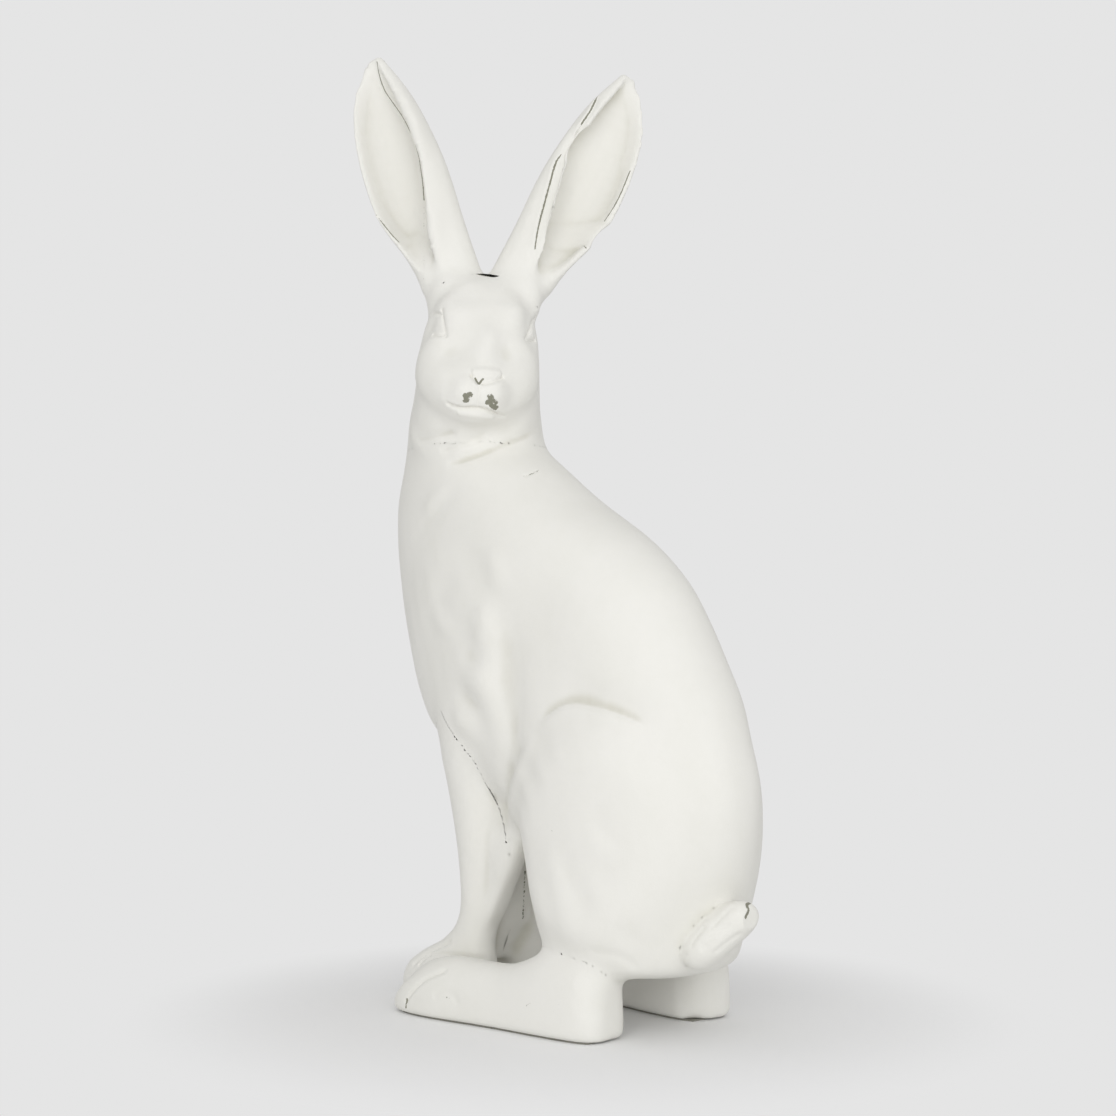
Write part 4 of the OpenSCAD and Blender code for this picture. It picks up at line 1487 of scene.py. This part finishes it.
@dataclass(frozen=True)
class Ears(Feature):
    """The two long ears, with the folds low in them and their rubbed rims."""

    inner_rim: ClassVar[Line] = ((377, 62), (379, 75), (384, 90), (393, 103), (403, 117), (411, 133),
        (418, 152), (421, 170), (423, 185), (424, 200))
    inner_rim_lower: ClassVar[Line] = ((424, 203), (424, 228), (424, 262), (423, 290))
    far_rim: ClassVar[tuple[Line, ...]] = (((597, 97), (590, 112), (582, 123), (573, 135)), ((560, 153),
        (555, 160), (551, 172), (547, 187), (543, 202), (539, 220), (536, 240), (535, 249)))

    far_lip: Stroke = Form.SAND.along(11, 150, ((580, 137), (566, 175), (559, 205), (548, 240)), ((557, 238),
        (574, 238), (596, 233)))
    rim_insides: Stroke = Form.SAND.along(6, 40, ((631, 92), (637, 120), (633, 146), (627, 164)), ((365, 80),
        (358, 110), (360, 150), (369, 190), (385, 218), (403, 240)))
    rim_band: Stroke = Form.FOLD.along(5, 3.4, ((384, 72), (393, 88), (403, 104), (411, 119), (417, 134),
        (422, 150), (426, 170)))
    inner_rim_edge: Stroke = Form.STEP.along(2.0, 1.1, inner_rim[::-1])
    far_hollow: Stroke = Form.FOLD.along(7.5, -4.4, ((588, 121), (576, 141), (566, 160), (558, 180),
        (552, 200), (547, 220), (543, 240), (542, 256)))
    near_fold: Stroke = Form.FOLD.along(5, 4.0, ((430, 200), (432, 222), (434, 245), (437, 262)))
    far_rim_edge: Stroke = Form.STEP.along(2.0, 1.1, *far_rim)
    inner_lower_edge: Stroke = Form.STEP.along(4, 0.6, inner_rim_lower[::-1])
    far_lower_edge: Stroke = Form.STEP.along(4, 0.6, ((536, 240), (536, 260), (537, 280)))
    far_fold: Stroke = Form.FOLD.along(3, 1.2, ((587, 246), (568, 265), (545, 279)))
    inner_lower_wear: Stroke = Form.WEAR.along(0.44, 0.4, inner_rim_lower)
    rim_wear: Stroke = Form.WEAR.along(0.44, 0.95, inner_rim, ((372, 209), (390, 233), (399, 242)),
        *far_rim, ((630, 171), (617, 203), (598, 230)), ((634, 80), (636, 81)), ((584, 246), (586, 248)))
    faint_wear: Stroke = Form.WEAR.along(0.44, 0.42, ((639, 97), (640, 120), (639, 144)), ((351, 100),
        (350, 130), (354, 160), (360, 186)))


@dataclass(frozen=True)
class Forelegs(Feature):
    """The two forelegs and their paws."""

    elbow_swell: Stroke = Form.SWELL.along(24, 2.0, (504, 862), sides=Sides.BOTH)
    wrist_dent: Stroke = Form.SWELL.along(22, -4.0, (499, 946), sides=Sides.BOTH)
    rear_edge: Stroke = Form.STEP.along(4, 0.9, ((490, 885), (491, 850), (489, 820)), sides=Sides.BOTH)
    front_band: Stroke = Form.FOLD.along(7, 0.6, ((466, 780), (468, 850), (468, 930)), sides=Sides.BOTH)
    toe_lines: Stroke = Form.FOLD.along(1.5, -1.2, ((452, 941), (440, 947), (428, 952), (420, 958),
        (412, 966)), ((431, 953), (424, 958), (418, 965)), sides=Sides.BOTH)
    # A thin dark line of undercoat colour along the far foreleg's back edge, in the gap between the legs.
    gap_dark_line: Stroke = Form.WEAR.along(0.9, 0.6, ((525, 872), (524, 895), (523, 918)))


@dataclass(frozen=True)
class HindFeet(Feature):
    """The two long hind feet, from the heel to the toes."""

    near_heel: Stroke = Form.SAND.along(11, 60, ((592, 984), (592, 1006)))
    far_heel: Stroke = Form.SAND.along(16, 200, ((697, 982), (697, 1003)))
    haunch_line: Stroke = Form.FOLD.along(3.1, -0.7, ((588, 950), (600, 953), (612, 955), (621, 957),
        (630, 962), (636, 969)), sides=Sides.BOTH)
    paw_line: Stroke = Form.FOLD.along(1.6, -0.8, ((425, 955), (440, 954), (455, 955), (470, 957),
        (492, 960)))
    toe_line: Stroke = Form.FOLD.along(1.5, -1.3, ((448, 970), (437, 974), (425, 979), (416, 987), (409, 996),
        (405, 1004)), sides=Sides.BOTH)
    side_dimple: Stroke = Form.FOLD.along(2.6, -0.6, ((432, 997), (440, 993), (447, 992), (454, 996),
        (458, 1006)), sides=Sides.BOTH)
    scratches: Stroke = Form.WEAR.along(0.45, 0.4, ((521, 1010), (530, 1003)), ((552, 1013), (562, 1001)))
    toe_chip: Stroke = Form.WEAR.along(0.9, 0.7, ((406, 999), (406, 1008)))
    dimple_dot: Stroke = Form.WEAR.along(0.6, 0.5, ((446, 997), (449, 998)))


@dataclass(frozen=True)
class Tail(Feature):
    """The short tail on the rump."""

    upper_ridge: Stroke = Form.FOLD.along(3.5, 0.9, ((694, 939), (705, 925), (715, 911), (726, 902),
        (742, 900)))
    blunt_tip: Stroke = Form.SWELL.along(17, 3.2, (741, 911))
    fur_lines: Stroke = Form.FOLD.along(1.7, -0.8, ((699, 950), (713, 936), (731, 924)), ((712, 955),
        (728, 942), (743, 931)), ((711, 929), (721, 918), (735, 909)), ((690, 946), (697, 936), (706, 926)))
    dents: Stroke = Form.SWELL.along(7, -0.7, (706, 947), (731, 925))
    tip_chip: Stroke = Form.WEAR.along(1.1, 0.8, ((745, 918), (747, 913), (745, 909), (749, 905)))


@dataclass
class CastFigure:
    """The nine painted castings, carved as one figure so that their joints close."""

    paint: PaintFinish = PaintFinish()

    def build(self, nodes: dict[str, Object], eye: Eye) -> None:
        """Fuses, carves, parts and paints the castings.

        Args:
            nodes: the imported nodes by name.
            eye: the photograph's camera.
        """
        skin = SkinBuilder(nodes).build()
        carver = Carver(skin, eye)
        for part in (Neck(), Shoulders(), Haunches(), Face(), Ears(), Forelegs(), HindFeet(), Tail()):
            part.carve(carver)
        carver.work()
        splitter = CastingSplitter(skin)
        paint = paint_material(self.paint)
        for casting in Casting:
            splitter.piece(casting, paint)


@dataclass
class Fittings:
    """The steel pins inside the castings and the rubber plug in the drain hole."""

    steel: PlainFinish = PlainFinish((0.60, 0.60, 0.61), 0.34, 1.0, 420.0, 0.1)
    rubber: PlainFinish = PlainFinish((0.06, 0.06, 0.055), 0.7, 0.0, 300.0, 0.2)

    def dress(self, nodes: dict[str, Object]) -> None:
        """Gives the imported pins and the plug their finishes.

        Args:
            nodes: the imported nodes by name.
        """
        steel = plain_material("brushed_steel", self.steel)
        rubber = plain_material("rubber", self.rubber)
        for name, node in nodes.items():
            if name.endswith(("_rod", "_pin", "_dowel", "_plug")):
                node.data.materials.clear()
                node.data.materials.append(rubber if name.endswith("_plug") else steel)
                LOG.info("%s: finished", name)


@dataclass
class FeltPads:
    """The four felt pads under the soles, with loose fibres round their edges."""

    # The felt pads are real; their dark grey is also painted shade for the thin contact line under the soles.
    felt: PlainFinish = PlainFinish((0.34, 0.33, 0.29), 0.95, 0.0, 1500.0, 0.8)
    fibre_len: float = 0.7
    fibre_r: float = 0.05
    fibres_per_m2: float = 1.6e6
    edge_level: float = 0.3
    seed: int = 7

    def build(self, nodes: dict[str, Object]) -> None:
        """Makes a fuzzy pad in place of each plain one.

        Args:
            nodes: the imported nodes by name.
        """
        # Dark grey felt that also stands in as painted shade along the base of the feet.
        felt = plain_material("felt", self.felt)
        fuzz = self._fuzz(felt)
        for name in [name for name in nodes if name.endswith("_pad")]:
            rough = placed(f"{name}_felt", merged_copy(nodes[name], f"{name}_felt"))
            modifier = rough.modifiers.new("fuzz", "NODES")
            modifier.node_group = fuzz
            sizes = {"Fibre Length": self.fibre_len * MM, "Fibre Radius": self.fibre_r * MM,
                     "Density": self.fibres_per_m2, "Seed": self.seed}
            for item in fuzz.interface.items_tree:
                if item.name in sizes:
                    modifier[item.identifier] = sizes[item.name]
            mesh = flattened(rough)
            for vert in mesh.vertices:
                vert.co.z = max(vert.co.z, 0.0)
            pad = placed(f"{name}_fuzzy", mesh)
            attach(pad, "root")
            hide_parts(name)
            LOG.info("%s: %d faces", pad.name, len(pad.data.polygons))

    def _fuzz(self, felt: Material) -> NodeTree:
        """Builds the node tree that sets fibres on a pad's edge.

        Args:
            felt: the material of pad and fibres.

        Returns:
            The tree.
        """
        book = NodeBook(bpy.data.node_groups.new("felt_fuzz", "GeometryNodeTree"))
        for name, kind in (("Pad", "Geometry"), ("Fibre Length", "Float"), ("Fibre Radius", "Float"),
                           ("Density", "Float"), ("Seed", "Int")):
            book.tree.interface.new_socket(name=name, in_out="INPUT", socket_type=f"NodeSocket{kind}")
        book.tree.interface.new_socket(name="Pad", in_out="OUTPUT", socket_type="NodeSocketGeometry")
        given = book.node("NodeGroupInput").outputs
        facing = book.node("ShaderNodeSeparateXYZ", Vector=book.node("GeometryNodeInputNormal").outputs[0])
        upright = book.node("ShaderNodeMath", {"operation": "ABSOLUTE"}, Value=facing.outputs[2])
        edge = book.node("FunctionNodeCompare", {"operation": "LESS_THAN"}, A=upright.outputs[0],
                         B=self.edge_level)
        points = book.node("GeometryNodeDistributePointsOnFaces", Mesh=given["Pad"],
                           Selection=edge.outputs[0], Density=given["Density"], Seed=given["Seed"]).outputs
        fibre = book.node("GeometryNodeMeshCone", Vertices=3, Radius_Top=0.0,
                          Radius_Bottom=given["Fibre Radius"], Depth=given["Fibre Length"])
        copies = book.node("GeometryNodeInstanceOnPoints", Points=points["Points"],
                           Rotation=points["Rotation"], Instance=fibre.outputs["Mesh"])
        fibres = book.node("GeometryNodeRealizeInstances", Geometry=copies.outputs[0])
        pad = book.node("GeometryNodeJoinGeometry", Geometry=given["Pad"])
        book.link(fibres.outputs[0], pad.inputs[0])
        coated = book.node("GeometryNodeSetMaterial", Geometry=pad.outputs[0], Material=felt)
        book.link(coated.outputs[0], book.node("NodeGroupOutput").inputs[0])
        return book.tree


@dataclass(frozen=True)
class Lamp:
    """A square lamp that faces the figure.

    Args:
        name: its name.
        place_m: how far it is towards the camera, to the right and up from the point it faces, in metres.
        size_m: its side, in metres.
        watts: its strength.
    """

    name: str
    place_m: tuple[float, float, float]
    size_m: float
    watts: float


@dataclass(frozen=True)
class StudioSetup:
    """The pale room and its soft lamps.

    Args:
        backdrop: the background's grey as the camera sees it.
        floor: the floor's own grey.
        floor_m: the floor's radius, in metres.
        fade: square metres about the middle where the floor begins to fade and where it has faded.
        dome: strength of the light from all round.
        lamps: the lamp above the figure's right, and the large one behind the camera.
        aim_m: height of the point that the lamps face, in metres.
    """

    backdrop: float = 0.783
    floor: float = 0.90
    floor_m: float = 9.0
    fade: tuple[float, float] = (0.01, 0.085)
    dome: float = 0.62
    lamps: tuple[Lamp, ...] = (Lamp("key", (0.7, 1.6, 1.9), 1.3, 1.2),
                               Lamp("fill", (2.2, 0.0, 0.7), 2.0, 22.5))
    aim_m: float = 0.3


class Studio:
    """Floor, backdrop and lights."""

    def __init__(self, setup: StudioSetup, eye: Eye) -> None:
        """Keeps the setup.

        Args:
            setup: strengths and greys.
            eye: the camera.
        """
        self.setup = setup
        self.eye = eye
        self.backdrop = (*([setup.backdrop] * 3), 1.0)

    def build(self) -> None:
        """Adds everything to the scene."""
        self._world()
        self._floor()
        for lamp in self.setup.lamps:
            self._lamp(lamp)
        bpy.context.scene.view_settings.view_transform = "Standard"

    def _world(self) -> None:
        """Lights the room evenly, with a grey that only the camera sees."""
        world = bpy.data.worlds.new("room")
        bpy.context.scene.world = world
        world.use_nodes = True
        book = NodeBook(world.node_tree)
        seen = book.node("ShaderNodeBackground", Color=self.backdrop)
        light = book.node("ShaderNodeBackground", Color=(1.0, 1.0, 1.0, 1.0), Strength=self.setup.dome)
        by_camera = book.node("ShaderNodeLightPath").outputs["Is Camera Ray"]
        book.node("ShaderNodeOutputWorld", Surface=book.mixed(by_camera, light, seen))

    def _floor(self) -> None:
        """Lays a wide round floor that fades into the backdrop."""
        bm = bmesh.new()
        bmesh.ops.create_circle(bm, cap_ends=True, segments=96, radius=self.setup.floor_m)
        floor = placed("floor", finished(bm, "floor"))
        f = Finish("floor")
        f.shader.inputs["Roughness"].default_value = 0.9
        f.shader.inputs["Specular IOR Level"].default_value = 0.1
        grey = self.setup.floor
        f.link(f.blend(f.noise(3.0, 2.0, 0.4), [grey] * 3, [grey * 0.99] * 3), f.shader.inputs["Base Color"])
        split = f.node("ShaderNodeSeparateXYZ", Vector=f.place)
        x, y = Scalar(f.tree, split.outputs[0]), Scalar(f.tree, split.outputs[1])
        seen = Scalar(f.tree, f.node("ShaderNodeLightPath").outputs["Is Camera Ray"])
        faded = (x * x + y * y).ramp(*self.setup.fade) * seen
        glow = f.node("ShaderNodeEmission", Color=self.backdrop)
        f.link(f.mixed(faded.socket, f.shader, glow), f.output.inputs["Surface"])
        floor.data.materials.append(f.material)

    def _lamp(self, lamp: Lamp) -> None:
        """Adds one lamp.

        Args:
            lamp: its place, size and strength.
        """
        near, right, up = lamp.place_m
        data = bpy.data.lights.new(lamp.name, "AREA")
        data.size = lamp.size_m
        data.energy = lamp.watts
        made = placed(lamp.name, data)
        target = Vector((0.0, 0.0, self.setup.aim_m))
        offset = Vector(self.eye.look) * -near + Vector(self.eye.right) * right + Vector((0, 0, up))
        made.location = target + offset
        made.rotation_euler = (target - made.location).to_track_quat("-Z", "Y").to_euler()


def main() -> None:
    """Builds the scene."""
    logging.basicConfig(level=logging.INFO, format="%(name)s: %(message)s")
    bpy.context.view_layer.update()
    eye = Eye(CameraSetup())
    eye.make_camera()
    nodes = frame["nodes"]
    CastFigure().build(nodes, eye)
    Fittings().dress(nodes)
    FeltPads().build(nodes)
    Studio(StudioSetup(), eye).build()
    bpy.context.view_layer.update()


if __name__ == "__main__":
    main()
